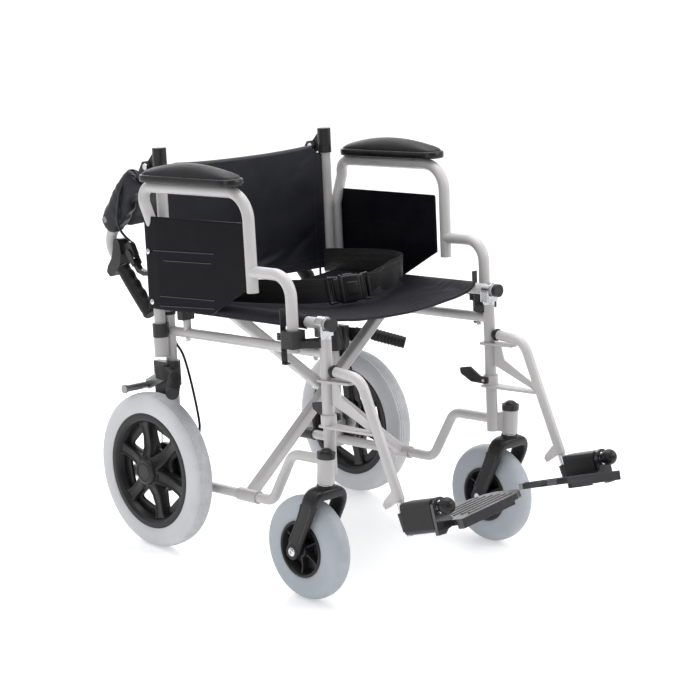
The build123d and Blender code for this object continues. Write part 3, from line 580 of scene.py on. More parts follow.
def lathe_part(profile, centre, seg=96, axis=(1, 0, 0), ref=(0, 0, 1), closed=True):
    """profile: [(along, radius)] in metres, turned about the axis through centre. A closed profile makes a ring; an open one whose
    ends lie on the axis makes a solid."""
    ax = Vector(axis).normalized()
    a0 = (Vector(ref) - ax * Vector(ref).dot(ax)).normalized()
    a1 = ax.cross(a0)
    c = Vector(centre)
    vs, fs = [], []
    index = []
    for along, r in profile:
        if r < 1e-7:
            index.append([len(vs)] * seg)
            vs.append(c + ax * along)
        else:
            row = []
            for j in range(seg):
                th = 2 * math.pi * j / seg
                row.append(len(vs))
                vs.append(c + ax * along + (a0 * math.cos(th) + a1 * math.sin(th)) * r)
            index.append(row)
    n = len(profile)
    for i in range(n if closed else n - 1):
        a, b = index[i], index[(i + 1) % n]
        for j in range(seg):
            q = [a[j], a[(j + 1) % seg], b[(j + 1) % seg], b[j]]
            q = [v for k, v in enumerate(q) if v != q[k - 1]]
            if len(q) > 2:
                fs.append(tuple(q))
    return vs, fs


def rounded(profile, r, steps=4):
    """Rounds the corners of a closed (along, radius) profile."""
    out = []
    n = len(profile)
    for i in range(n):
        p = Vector((*profile[i], 0))
        a = Vector((*profile[i - 1], 0)) - p
        b = Vector((*profile[(i + 1) % n], 0)) - p
        q = min(r, a.length * 0.45, b.length * 0.45)
        a, b = p + a.normalized() * q, p + b.normalized() * q
        for k in range(steps + 1):
            t = k / steps
            s = a * (1 - t) ** 2 + p * 2 * t * (1 - t) + b * t * t
            out.append((s.x, s.y))
    return out


def sheet_part(top, thick, normals=None, uv=None):
    """A closed sheet from a grid of top points [row][column], thickness thick(i, j) downwards along the normals."""
    nr, nc = len(top), len(top[0])
    g = np.array([[tuple(p) for p in row] for row in top])
    if normals is None:
        normals = grid_normals(g)
    vs = [tuple(p) for row in g for p in row]
    low = []
    for i in range(nr):
        for j in range(nc):
            low.append(tuple(g[i, j] - normals[i, j] * thick(i, j)))
    k = nr * nc
    vs += low
    fs = []
    for i in range(nr - 1):
        for j in range(nc - 1):
            a, b, c, d = i * nc + j, i * nc + j + 1, (i + 1) * nc + j + 1, (i + 1) * nc + j
            fs.append((a, b, c, d))
            fs.append((d + k, c + k, b + k, a + k))
    edge = [(0, j) for j in range(nc)] + [(i, nc - 1) for i in range(1, nr)] + [(nr - 1, j) for j in range(nc - 2, -1, -1)] + [(i, 0) for i in range(nr - 2, 0, -1)]
    for a, b in zip(edge, edge[1:] + edge[:1]):
        p, q = a[0] * nc + a[1], b[0] * nc + b[1]
        fs.append((q, p, p + k, q + k))
    uvs = None
    if uv is not None:
        flat = [uv(i, j) for i in range(nr) for j in range(nc)]
        uvs = flat + flat
    return vs, fs, uvs


def grid_normals(g):
    du = np.gradient(g, axis=1)
    dv = np.gradient(g, axis=0)
    n = np.cross(du, dv)
    n /= np.maximum(np.linalg.norm(n, axis=2, keepdims=True), 1e-12)
    return n


def box_part(centre, x, y, z, size, r=0.002, seg=3):
    """A block with rounded edges: axes x, y, z and full size, in metres."""
    bm = bmesh.new()
    bmesh.ops.create_cube(bm, size=1.0)
    m = Matrix.Translation(Vector(centre)) @ Matrix((Vector(x).normalized(), Vector(y).normalized(), Vector(z).normalized())).transposed().to_4x4() @ Matrix.Diagonal((*size, 1))
    bmesh.ops.transform(bm, matrix=Matrix.Diagonal((*size, 1)), verts=bm.verts)
    bmesh.ops.bevel(bm, geom=list(bm.edges), offset=min(r, min(size) * 0.45), segments=seg, profile=0.5, affect="EDGES")
    place = Matrix.Translation(Vector(centre)) @ Matrix((Vector(x).normalized(), Vector(y).normalized(), Vector(z).normalized())).transposed().to_4x4()
    bmesh.ops.transform(bm, matrix=place, verts=bm.verts)
    bm.verts.ensure_lookup_table()
    vs = [v.co.copy() for v in bm.verts]
    fs = [tuple(v.index for v in f.verts) for f in bm.faces]
    bm.free()
    return vs, fs


def screw_part(at, direction, r=0.0045, h=0.0026, slot=True):
    """A pan-head screw with a shallow round recess in the head."""
    d = Vector(direction).normalized()
    prof = [(0, r * 0.98), (h * 0.35, r), (h * 0.72, r * 0.82), (h * 0.95, r * 0.52), (h, r * 0.30), (h * 0.45, r * 0.22), (h * 0.40, 0.0)]
    prof = [(-0.0004, 0.0), (-0.0004, r * 0.98)] + prof
    ref = (0, 1, 0) if abs(d.y) < 0.9 else (1, 0, 0)
    return lathe_part(prof, at, 24, d, ref, closed=False)


def stitch_parts(pts, normals, step=0.0042, length=0.0028, r=0.00038, lift=0.0001):
    """Thread dashes along a line."""
    parts = []
    fr = [Vector(p) for p in pts]
    acc = 0.0
    for i in range(len(fr) - 1):
        a, b = fr[i], fr[i + 1]
        seg = (b - a).length
        while acc < seg:
            t = acc / max(seg, 1e-9)
            c = a.lerp(b, t) + Vector(normals[i]) * lift
            d = (b - a).normalized()
            s = d.cross(Vector(normals[i])).normalized()
            n = Vector(normals[i])
            vs = []
            for k, (q, w) in enumerate(((-0.5, 0.35), (-0.28, 1.0), (0.28, 1.0), (0.5, 0.35))):
                for m in range(5):
                    th = 2 * math.pi * m / 5
                    vs.append(c + d * q * length + (s * math.cos(th) + n * math.sin(th)) * r * w)
            fs = []
            for k in range(3):
                for m in range(5):
                    p, q = k * 5 + m, k * 5 + (m + 1) % 5
                    fs.append((p, q, q + 5, p + 5))
            fs.append((4, 3, 2, 1, 0))
            fs.append((15, 16, 17, 18, 19))
            parts.append((vs, fs))
            acc += step
        acc -= seg
    return parts


def curve_disc(name, outer, holes, thick, bevel=0.0):
    """A flat plate with holes from closed outlines [(x, y)], centred on z, with rounded edges. Returns (verts, faces) in its own plane."""
    cu = bpy.data.curves.new(name, "CURVE")
    cu.dimensions = "2D"
    cu.fill_mode = "BOTH"
    cu.extrude = thick / 2 - bevel
    cu.bevel_depth = bevel
    cu.bevel_resolution = 2
    for ring in [outer] + holes:
        sp = cu.splines.new("POLY")
        sp.points.add(len(ring) - 1)
        for p, q in zip(sp.points, ring):
            p.co = (q[0], q[1], 0, 1)
        sp.use_cyclic_u = True
    o = bpy.data.objects.new(name, cu)
    scene.collection.objects.link(o)
    dg = bpy.context.evaluated_depsgraph_get()
    me = bpy.data.meshes.new_from_object(o.evaluated_get(dg))
    bm = bmesh.new()
    bm.from_mesh(me)
    bmesh.ops.remove_doubles(bm, verts=bm.verts, dist=1e-6)
    bm.verts.ensure_lookup_table()
    vs = [v.co.copy() for v in bm.verts]
    fs = [tuple(v.index for v in f.verts) for f in bm.faces]
    bm.free()
    bpy.data.objects.remove(o)
    bpy.data.meshes.remove(me)
    return vs, fs


def put(part, matrix):
    return [matrix @ Vector(v) for v in part[0]], part[1]


def piece(name, parts, material, body, slot, *replaces, **kw):
    o = mesh_piece(name, *join_parts(parts), material, **kw)
    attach(o, body)
    if replaces:
        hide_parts(*replaces)
    return o


def pair(name, parts, material, body, slot, *replaces, **kw):
    """A right-hand piece and its left-hand twin."""
    o = mesh_piece("right_" + name, *join_parts(parts), material, **kw)
    t = mirrored(o, "left_" + name)
    for side, q in (("right_", o), ("left_", t)):
        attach(q, side + body)
        if replaces:
            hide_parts(*[side + r for r in replaces])
    return o, t


# ------------------------------------------------------------------ cloth
def run_cloth(grid, pins, frames=24, gravity=1.0, shrink=0.0, tension=18.0, bend=0.35, cap=0.012, mass=0.25, pressure=0.0):
    """Sags a grid of points as cloth. pins[i][j] in 0..1. The result is capped to a distance from the start, so it can't run away."""
    nr, nc = grid.shape[:2]
    me = bpy.data.meshes.new("cloth_tmp")
    faces = [(i * nc + j, i * nc + j + 1, (i + 1) * nc + j + 1, (i + 1) * nc + j) for i in range(nr - 1) for j in range(nc - 1)]
    me.from_pydata([tuple(p) for p in grid.reshape(-1, 3)], [], faces)
    o = bpy.data.objects.new("cloth_tmp", me)
    scene.collection.objects.link(o)
    vg = o.vertex_groups.new(name="pin")
    flat = np.array(pins).reshape(-1)
    for i, w in enumerate(flat):
        if w > 0:
            vg.add([i], float(w), "REPLACE")
    mod = o.modifiers.new("Cloth", "CLOTH")
    st = mod.settings
    st.quality = 8
    st.mass = mass
    st.tension_stiffness = tension
    st.compression_stiffness = tension
    st.shear_stiffness = tension * 0.4
    st.bending_stiffness = bend
    st.tension_damping = 8
    st.air_damping = 4
    st.vertex_group_mass = "pin"
    st.shrink_min = shrink
    st.effector_weights.gravity = gravity
    if pressure:
        st.use_pressure = True
        st.uniform_pressure_force = pressure
    mod.collision_settings.use_collision = False
    mod.collision_settings.use_self_collision = False
    mod.point_cache.frame_start = 1
    mod.point_cache.frame_end = frames + 1
    scene.frame_start, scene.frame_end = 1, frames + 1
    for f in range(1, frames + 1):
        scene.frame_set(f)
    dg = bpy.context.evaluated_depsgraph_get()
    out = np.array([v.co for v in o.evaluated_get(dg).to_mesh().vertices], float).reshape(nr, nc, 3)
    bpy.data.objects.remove(o)
    scene.frame_set(1)
    d = out - grid
    length = np.linalg.norm(d, axis=2, keepdims=True)
    d *= np.minimum(1.0, cap / np.maximum(length, 1e-9))
    return grid + d


def run_pad(verts, faces, pin, voxel=0.005, pressure=4.0, frames=20, cap=0.006):
    """Remeshes a closed form, swells it as padded fabric and smooths it once. pin(co) in 0..1."""
    me = bpy.data.meshes.new("pad_tmp")
    me.from_pydata([tuple(v) for v in verts], [], faces)
    o = bpy.data.objects.new("pad_tmp", me)
    scene.collection.objects.link(o)
    r = o.modifiers.new("Remesh", "REMESH")
    r.mode = "VOXEL"
    r.voxel_size = voxel
    dg = bpy.context.evaluated_depsgraph_get()
    base = bpy.data.meshes.new_from_object(o.evaluated_get(dg))
    bpy.data.objects.remove(o)
    o = bpy.data.objects.new("pad_tmp", base)
    scene.collection.objects.link(o)
    rest = np.array([v.co for v in base.vertices], float)
    vg = o.vertex_groups.new(name="pin")
    for i, c in enumerate(rest):
        w = pin(c)
        if w > 0:
            vg.add([i], float(w), "REPLACE")
    mod = o.modifiers.new("Cloth", "CLOTH")
    st = mod.settings
    st.quality = 6
    st.mass = 0.3
    st.tension_stiffness = 15
    st.compression_stiffness = 15
    st.bending_stiffness = 1.0
    st.vertex_group_mass = "pin"
    st.effector_weights.gravity = 0
    st.use_pressure = True
    st.uniform_pressure_force = pressure
    mod.collision_settings.use_collision = False
    mod.collision_settings.use_self_collision = False
    mod.point_cache.frame_end = frames + 1
    scene.frame_start, scene.frame_end = 1, frames + 1
    for f in range(1, frames + 1):
        scene.frame_set(f)
    dg = bpy.context.evaluated_depsgraph_get()
    out = np.array([v.co for v in o.evaluated_get(dg).to_mesh().vertices], float)
    o.modifiers.clear()
    o.vertex_groups.clear()
    d = out - rest
    length = np.linalg.norm(d, axis=1, keepdims=True)
    rest = rest + d * np.minimum(1.0, cap / np.maximum(length, 1e-9))
    scene.frame_set(1)
    base.vertices.foreach_set("co", rest.astype(np.float32).ravel())
    base.update()
    sub = o.modifiers.new("Subdivision", "SUBSURF")
    sub.levels = sub.render_levels = 1
    dg = bpy.context.evaluated_depsgraph_get()
    fine = bpy.data.meshes.new_from_object(o.evaluated_get(dg))
    vs = [v.co.copy() for v in fine.vertices]
    fs = [tuple(p.vertices) for p in fine.polygons]
    bpy.data.objects.remove(o)
    return vs, fs


def unpitch(co):
    """Row-frame metres to pitched-frame millimetres."""
    x, y, z = (c * 1000.0 for c in co)
    return x, y * CP - z * SP, y * SP + z * CP


# ------------------------------------------------------------------ seat sling
SEAT_X, SEAT_Z, WRAP_R = 228.0, 490.0, 13.6


def seat_front(x):
    return -450.0 + 17.0 * min(1.0, abs(x) / 228.0) ** 8


def seat_sag(x, v):
    k = max(0.0, 1 - (x / SEAT_X) ** 2)
    return interp(v, [(0, 13.0), (0.4, 22.0), (1.0, 20.5)]) * k ** 1.15


FOLDS = [  # creases in the sling: from, to (x, yl), width, height
    ((206, -438), (120, -352), 9, 2.4), ((196, -442), (150, -330), 7, -1.6), ((-208, -432), (-120, -400), 8, 1.8),
    ((214, -380), (90, -300), 12, 1.6), ((-150, -60), (-60, -120), 11, 2.2), ((60, -60), (130, -150), 12, -1.8),
    ((-215, -200), (-90, -240), 14, 1.4), ((100, -440), (40, -380), 8, -1.3), ((-90, -446), (-30, -400), 8, 1.2),
]


def seat_creases(x, yl):
    z = 0.0
    for (ax, ay), (bx, by), w, h in FOLDS:
        dx, dy = bx - ax, by - ay
        n = math.hypot(dx, dy)
        t = ((x - ax) * dx + (yl - ay) * dy) / (n * n)
        d = abs((x - ax) * dy - (yl - ay) * dx) / n
        z += h * math.exp(-(d / w) ** 2) * smooth(-0.15, 0.25, t) * (1 - smooth(0.55, 1.15, t))
    return z


def seat_top(x, yl):
    v = (yl + 46) / (seat_front(x) + 46)
    edge = smooth(0, 30, 228 - abs(x))
    return SEAT_Z + WRAP_R - seat_sag(x, v) + edge * (seat_creases(x, yl) + 0.9 * wob((x, yl, 0), 0.022, 3))


def build_seat():
    wraps = [262, 250, 236, 221, 206, 191, 176, 161, 146, 131, 117, 104]
    flat = np.linspace(-SEAT_X, SEAT_X, 77)
    rows = 72
    cols = [("w", a, -1) for a in wraps] + [("f", x, 0) for x in flat] + [("w", a, 1) for a in reversed(wraps)]
    nc = len(cols)
    grid = np.zeros((rows, nc, 3))
    uv = np.zeros((rows, nc, 2))
    pins = np.zeros((rows, nc))
    for i in range(rows):
        v = i / (rows - 1)
        for j, (kind, a, side) in enumerate(cols):
            if kind == "f":
                yl = lerp(-46, seat_front(a), v)
                p = W(a, yl, seat_top(a, yl))
                uv[i, j] = (a * 0.001, yl * 0.001)
                pins[i, j] = 1.0 - smooth(0, 26, SEAT_X - abs(a))
            else:
                yl = lerp(-46, seat_front(SEAT_X), v)
                near = 1 - smooth(12, 24, abs(yl + 72))
                end = lerp(262, 172, near)
                a2 = 90 + (a - 90) * (end - 90) / (262 - 90)
                th = math.radians(a2)
                p = W(side * (SEAT_X - WRAP_R * math.cos(th)), yl, SEAT_Z + WRAP_R * math.sin(th))
                uv[i, j] = (side * (SEAT_X + WRAP_R * math.radians(a2 - 90)) * 0.001, yl * 0.001)
                pins[i, j] = 1.0
            grid[i, j] = p
        if i == 0:
            pins[i, :] = 1.0
    grid = run_cloth(grid, pins, frames=26, gravity=0.6, shrink=-0.012, tension=22, bend=0.25, cap=0.007)
    mid = nc // 2
    grid[:, mid, 0] = 0.0
    normals = grid_normals(grid)
    if normals[rows // 2, mid, 2] < 0:
        normals = -normals
    out = []
    for side, sl in (("right_", slice(0, mid + 1)), ("left_", slice(mid, nc))):
        g = grid[:, sl]
        nn = normals[:, sl]
        u = uv[:, sl]

        def thick(i, j):
            v = i / (rows - 1)
            return 0.0022 + 0.0022 * smooth(0.945, 0.955, v) - 0.0008 * math.exp(-((v - 0.948) / 0.006) ** 2)

        vs, fs, uvs = sheet_part([[Vector(p) for p in row] for row in g], thick, nn, lambda i, j: tuple(u[i, j]))
        # rolled hem along the front edge
        line = [Vector(g[-1, j]) - Vector(nn[-1, j]) * 0.0024 for j in range(g.shape[1]) if abs(g[-1, j][0]) < 0.2279]
        fr = path_frames(line, Vector(WD(0, 0, 1)))
        n = 12

        def ring(i, f):
            p, t, s, up = f
            return [p + s * math.cos(2 * math.pi * k / n) * 0.0046 + up * math.sin(2 * math.pi * k / n) * 0.0031 for k in range(n)]

        hv, hf = loft(fr, ring, n)
        k0 = len(vs)
        vs = list(vs) + hv
        fs = list(fs) + [tuple(q + k0 for q in f) for f in hf]
        uvs = uvs + [(v[0], v[1]) for v in hv]
        o = mesh_piece(side + "seat_fabric", vs, fs, NYLON_SEAT, uvs)
        out.append((side, o))
        # two rows of hem stitching
        for row, tag in ((int(rows * 0.945), "a"), (int(rows * 0.90), "b")):
            pts = [Vector(g[row, j]) + Vector(nn[row, j]) * 0.0002 for j in range(g.shape[1]) if abs(g[row, j][0]) < 0.226]
            ns = [nn[row, j] for j in range(g.shape[1]) if abs(g[row, j][0]) < 0.226]
            if tag == "a":
                st = stitch_parts(pts, ns)
            else:
                st += stitch_parts(pts, ns)
        # stitching beside the rail pocket
        col = [j for j in range(g.shape[1]) if abs(abs(g[0, j][0]) - 0.207) < 0.0032][:1][0]
        st += stitch_parts([Vector(g[i, col]) + Vector(nn[i, col]) * 0.0002 for i in range(2, rows - 3)], [nn[i, col] for i in range(2, rows - 3)])
        t = mesh_piece(side + "seat_stitching", *join_parts(st), THREAD)
        out.append((side, t))
    for side, o in out:
        body = "brace_b" if side == "right_" else "brace_a"
        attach(o, body)
        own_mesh(o)
        if o.name.endswith("fabric"):
            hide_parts("seat_sling")


build_seat()


# ------------------------------------------------------------------ back upholstery
def back_top(x):
    return 761.5 + 8.5 * (abs(x) / 209.0) ** 2.4 - 20.0 * smooth(178, 209, abs(x))


BACK_FOLDS = [((-120, 520), (60, 545), 8, 2.2), ((-40, 506), (150, 560), 7, -1.8), ((90, 530), (205, 600), 9, 2.4), ((-200, 540), (-90, 575), 9, -1.8),
              ((205, 745), (110, 700), 10, 2.0), ((-205, 750), (-120, 715), 9, 1.8), ((20, 750), (70, 660), 14, 1.6), ((120, 520), (190, 530), 6, -1.6)]


def back_creases(x, z):
    y = 0.0
    for (ax, ay), (bx, by), w, h in BACK_FOLDS:
        dx, dy = bx - ax, by - ay
        n = math.hypot(dx, dy)
        t = ((x - ax) * dx + (z - ay) * dy) / (n * n)
        d = abs((x - ax) * dy - (z - ay) * dx) / n
        y += h * math.exp(-(d / w) ** 2) * smooth(-0.15, 0.25, t) * (1 - smooth(0.6, 1.15, t))
    return y


def build_back_lower():
    xs = np.linspace(-211.5, 211.5, 73)
    nz = 48
    roll = [(0.0, 0.0), (2.2, 3.2), (5.6, 5.2), (9.6, 5.6), (13.6, 4.4), (17.0, 2.0)]
    rows = nz + len(roll)
    nc = len(xs)
    grid = np.zeros((rows, nc, 3))
    uv = np.zeros((rows, nc, 2))
    pins = np.zeros((rows, nc))
    for j, x in enumerate(xs):
        k = 1 - (x / 211.5) ** 2
        top = back_top(x) - 5.5
        for i in range(rows):
            if i < nz:
                z = lerp(505, top, i / (nz - 1))
                v = (z - 505) / (top - 505)
                sag = 9.0 * k * interp(v, [(0, 0.75), (0.4, 1.0), (1.0, 0.55)])
                y = -18.2 + sag + smooth(0, 24, 211.5 - abs(x)) * (back_creases(x, z) + 0.8 * wob((x, 0, z), 0.02, 9))
                base_y = -18.2 + sag
            else:
                dy, dz = roll[i - nz]
                y = base_y + dy
                z = top + dz + 0.0
            if i == nz - 1:
                y = base_y = lerp(y, -18.2 + 9.0 * k * 0.55, 1.0)
            grid[i, j] = W(x, y, z)
            uv[i, j] = (x * 0.001, (z + max(0, i - nz) * 3) * 0.001)
            pins[i, j] = 1.0 if i >= nz - 2 else 1 - smooth(0, 22, 211.5 - abs(x))
    grid = run_cloth(grid, pins, frames=22, gravity=0.5, shrink=-0.010, tension=22, bend=0.3, cap=0.005)
    mid = nc // 2
    grid[:, mid, 0] = 0.0
    normals = grid_normals(grid)
    if normals[10, mid, 1] > 0:
        normals = -normals
    for side, sl, sgn in (("right_", slice(0, mid + 1), -1), ("left_", slice(mid, nc), 1)):
        g, nn, u = grid[:, sl], normals[:, sl], uv[:, sl]

        def thick(i, j):
            x = abs(g[i, j][0]) * 1000
            return 0.0021 + 0.0013 * smooth(186, 189, x) + 0.0012 * (1 - smooth(1, 4, i))

        vs, fs, uvs = sheet_part([[Vector(p) for p in row] for row in g], thick, nn, lambda i, j: tuple(u[i, j]))
        o = mesh_piece(side + "back_fabric", vs, fs, NYLON, uvs)
        cols = [int(np.argmin(abs(abs(g[0, :, 0]) - d))) for d in (0.1875, 0.2055)]
        st = []
        for c in cols:
            st += stitch_parts([Vector(g[i, c]) for i in range(1, nz)], [nn[i, c] for i in range(1, nz)])
        st += stitch_parts([Vector(g[3, j]) for j in range(g.shape[1])], [nn[3, j] for j in range(g.shape[1])])
        t = mesh_piece(side + "back_stitching", *join_parts(st), THREAD)
        for q in (o, t):
            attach(q, side + "frame")
            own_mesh(q)
        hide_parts("back_lower")


build_back_lower()


def from_folded(x, a, b):
    """A point given beside the hinge pivot with the back folded down."""
    return W(x, PIV_Y + a, PIV_Z + b)


SLEEVE = [  # upright height, front and back of the loose sleeve, half width
    (806, -31, 24, 12.5), (812, -34, 25, 14.6), (824, -38, 20, 15.6), (840, -42, 14, 16.4), (858, -46, 12, 16.6), (876, -48, 13, 17.0), (898, -50, 11, 17.2),
    (918, -51, 6, 17.0), (934, -51, 1, 16.6), (943, -50, -2, 16.0), (948.5, -45, -5, 14.6), (950.5, -37, -8, 13.6)]


def build_back_upper():
    xs = np.linspace(-211.0, 211.0, 73)
    nc = len(xs)
    zs = list(np.linspace(812, 936, 24))
    tail = [(-20, -6.0), (-9, -7.6), (2, -9.0), (14, -10.8), (26, -13.2), (38, -16.2), (48, -18.8)]
    rows = len(tail) + len(zs)
    grid = np.zeros((rows, nc, 3))
    uv = np.zeros((rows, nc, 2))
    pins = np.zeros((rows, nc))
    for j, x in enumerate(xs):
        k = (abs(x) / 209.0) ** 2.4
        inset = 1.0 if abs(x) < 206 else 1.0
        for i in range(rows):
            if i < len(tail):
                a, b = tail[i]
                f = 1 - smooth(2, len(tail), i)
                p = from_folded(x * lerp(0.985, 1.0, i / len(tail)), a, b + 9.0 * k * f + 0.8 * wob((x, a, 0), 0.03, 5))
            else:
                z = zs[i - len(tail)]
                v = (z - 812) / 124
                bulge = 16.0 * (1 - (x / 211.0) ** 2) * math.sin(math.pi * min(1, 0.15 + v * 0.7)) + 2.0 * wob((x, 0, z), 0.018, 21)
                edge = smooth(0, 26, 211 - abs(x))
                p = U(x, -17.5 - bulge * edge, z)
            grid[i, j] = p
            uv[i, j] = (x * 0.001, i * 0.0057)
            pins[i, j] = 1 - smooth(0, 20, 211 - abs(x)) if i > 2 else 1.0
    grid = run_cloth(grid, pins, frames=20, gravity=0.7, shrink=-0.02, tension=20, bend=0.3, cap=0.008)
    mid = nc // 2
    grid[:, mid, 0] = 0.0
    normals = grid_normals(grid)
    for side, sl, sgn in (("right_", slice(0, mid + 1), -1), ("left_", slice(mid, nc), 1)):
        g, nn, u = grid[:, sl], normals[:, sl], uv[:, sl]
        vs, fs, uvs = sheet_part([[Vector(p) for p in row] for row in g], lambda i, j: 0.0021 + 0.0016 * smooth(rows - 4.5, rows - 3.5, i), nn, lambda i, j: tuple(u[i, j]))
        o = mesh_piece(side + "upper_back_fabric", vs, fs, NYLON, uvs)
        # loose sleeve round the folded tube
        n = 30
        table = SLEEVE
        heights = list(np.linspace(806, 950.5, 40))
        pts, uvl = [], []
        for i, z in enumerate(heights):
            yf, yb, w = (interp(z, [(r[0], r[q]) for r in table]) for q in (1, 2, 3))
            cy, hy = (yf + yb) / 2, (yb - yf) / 2
            for m in range(n):
                th = 2 * math.pi * m / n
                cx, cs = math.cos(th), math.sin(th)
                e = 0.72
                px = math.copysign(abs(cx) ** e, cx) * w
                py = math.copysign(abs(cs) ** e, cs) * hy
                amp = 0.5 + 2.2 * smooth(815, 850, z) * (1 - smooth(938, 950, z))
                r = amp * wob((px, py, z), 0.055, 31) + 1.2 * amp * wob((px, py * 0.4, z * 0.5), 0.12, 7)
                px += r * 0.35 * cx
                py += r * 0.9 * cs
                pts.append(U(sgn * 224.0 + px * (1 if sgn < 0 else 1), cy + py, z))
                uvl.append((m * 0.004, z * 0.001))
        sf = []
        for i in range(len(heights) - 1):
            for m in range(n):
                a, b = i * n + m, i * n + (m + 1) % n
                sf.append((a, b, b + n, a + n))
        sf.append(tuple(reversed(range(n))))
        sf.append(tuple((len(heights) - 1) * n + m for m in range(n)))
        s = mesh_piece(side + "back_sleeve", pts, sf, NYLON, uvl)
        snap = [lathe_part([(-0.001, 0), (-0.001, 0.0062), (0.0012, 0.0062), (0.0021, 0.0050), (0.0016, 0.0036), (0.0022, 0.0022), (0.0024, 0.0)],
                           U(sgn * 239.2, -33, 934), 24, (sgn, 0, 0), (0, 0, 1), closed=False)]
        r = mesh_piece(side + "sleeve_snap", *join_parts(snap), DARK_STEEL)
        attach(r, side + "push_handle")
        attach(s, side + "push_handle")
        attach(o, side + "push_handle")
        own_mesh(o)
        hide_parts("back_upper")


build_back_upper()


# ------------------------------------------------------------------ armrest pads
def outline(hl, hw, r, n=10):
    """A rounded rectangle, counter-clockwise."""
    out = []
    for cx, cy, a0 in ((hl - r, hw - r, 0), (-hl + r, hw - r, 90), (-hl + r, -hw + r, 180), (hl - r, -hw + r, 270)):
        for k in range(n + 1):
            a = math.radians(a0 + 90 * k / n)
            out.append((cx + r * math.cos(a), cy + r * math.sin(a)))
        if a0 in (0, 180):
            x0, y0 = out[-1]
            out += [(lerp(x0, -x0, k / 16), y0) for k in range(1, 16)]
    return out


def stack(levels, place, hl, hw, r):
    """Rings of a rounded rectangle: levels are (inset, height). Closed by a fan at both ends."""
    vs, fs = [], []
    n = None
    for inset, z in levels:
        ring = outline(hl - inset, hw - inset, max(1.0, r - inset))
        n = len(ring)
        vs += [place(x, y, z) for x, y in ring]
    for i in range(len(levels) - 1):
        for k in range(n):
            a, b = i * n + k, i * n + (k + 1) % n
            fs.append((a, b, b + n, a + n))
    fs.append(tuple(reversed(range(n))))
    fs.append(tuple((len(levels) - 1) * n + k for k in range(n)))
    return vs, fs


def build_pads():
    def rise(x):
        return lerp(0.14, 1.0, max(0.0, 1 - (x / 141.0) ** 2))

    def place(x, y, z):
        if z > 757:
            z = 757 + (z - 757) * rise(x)
        return W(-272.5 + y, -167 + x, z)

    core = stack([(4, 749), (2.2, 751), (1.6, 756), (2.6, 762), (5.5, 768.5), (10.0, 774.5), (15.5, 778.5), (20.5, 780.8), (24, 781.6)], place, 138.5, 26.0, 25.0)

    def pin(co):
        return 1.0 if unpitch(co)[2] < 756 else 0.0

    vs, fs = run_pad(*core, pin, voxel=0.0045, pressure=3.0, frames=14, cap=0.0035)
    # keep the swollen crown inside the pad's own height
    out = []
    for v in vs:
        x, y, z = unpitch(v)
        out.append(W(x, y, min(z, 757 + 25 * rise(y + 167))))
    pair("arm_pad_crown", [(out, fs)], VINYL, "armrest", "pad_vinyl", "arm_pad", sharp=60)
    band = stack([(3.0, 741.7), (1.0, 742.2), (0.0, 743.6), (-0.3, 747.0), (-0.2, 753.6), (0.7, 755.4), (2.4, 756.2), (6.0, 756.4)], place, 140.2, 27.4, 26.0)
    pair("arm_pad_base", [band], GLOSSY, "armrest", "pad_vinyl", sharp=50)


build_pads()


# ------------------------------------------------------------------ side panels
RIDGES = ((604.0, -207, -30, -0.02), (585.0, -197, -60, -0.02), (513.0, -202, -44, -0.02), (495.0, -200, -42, -0.04))


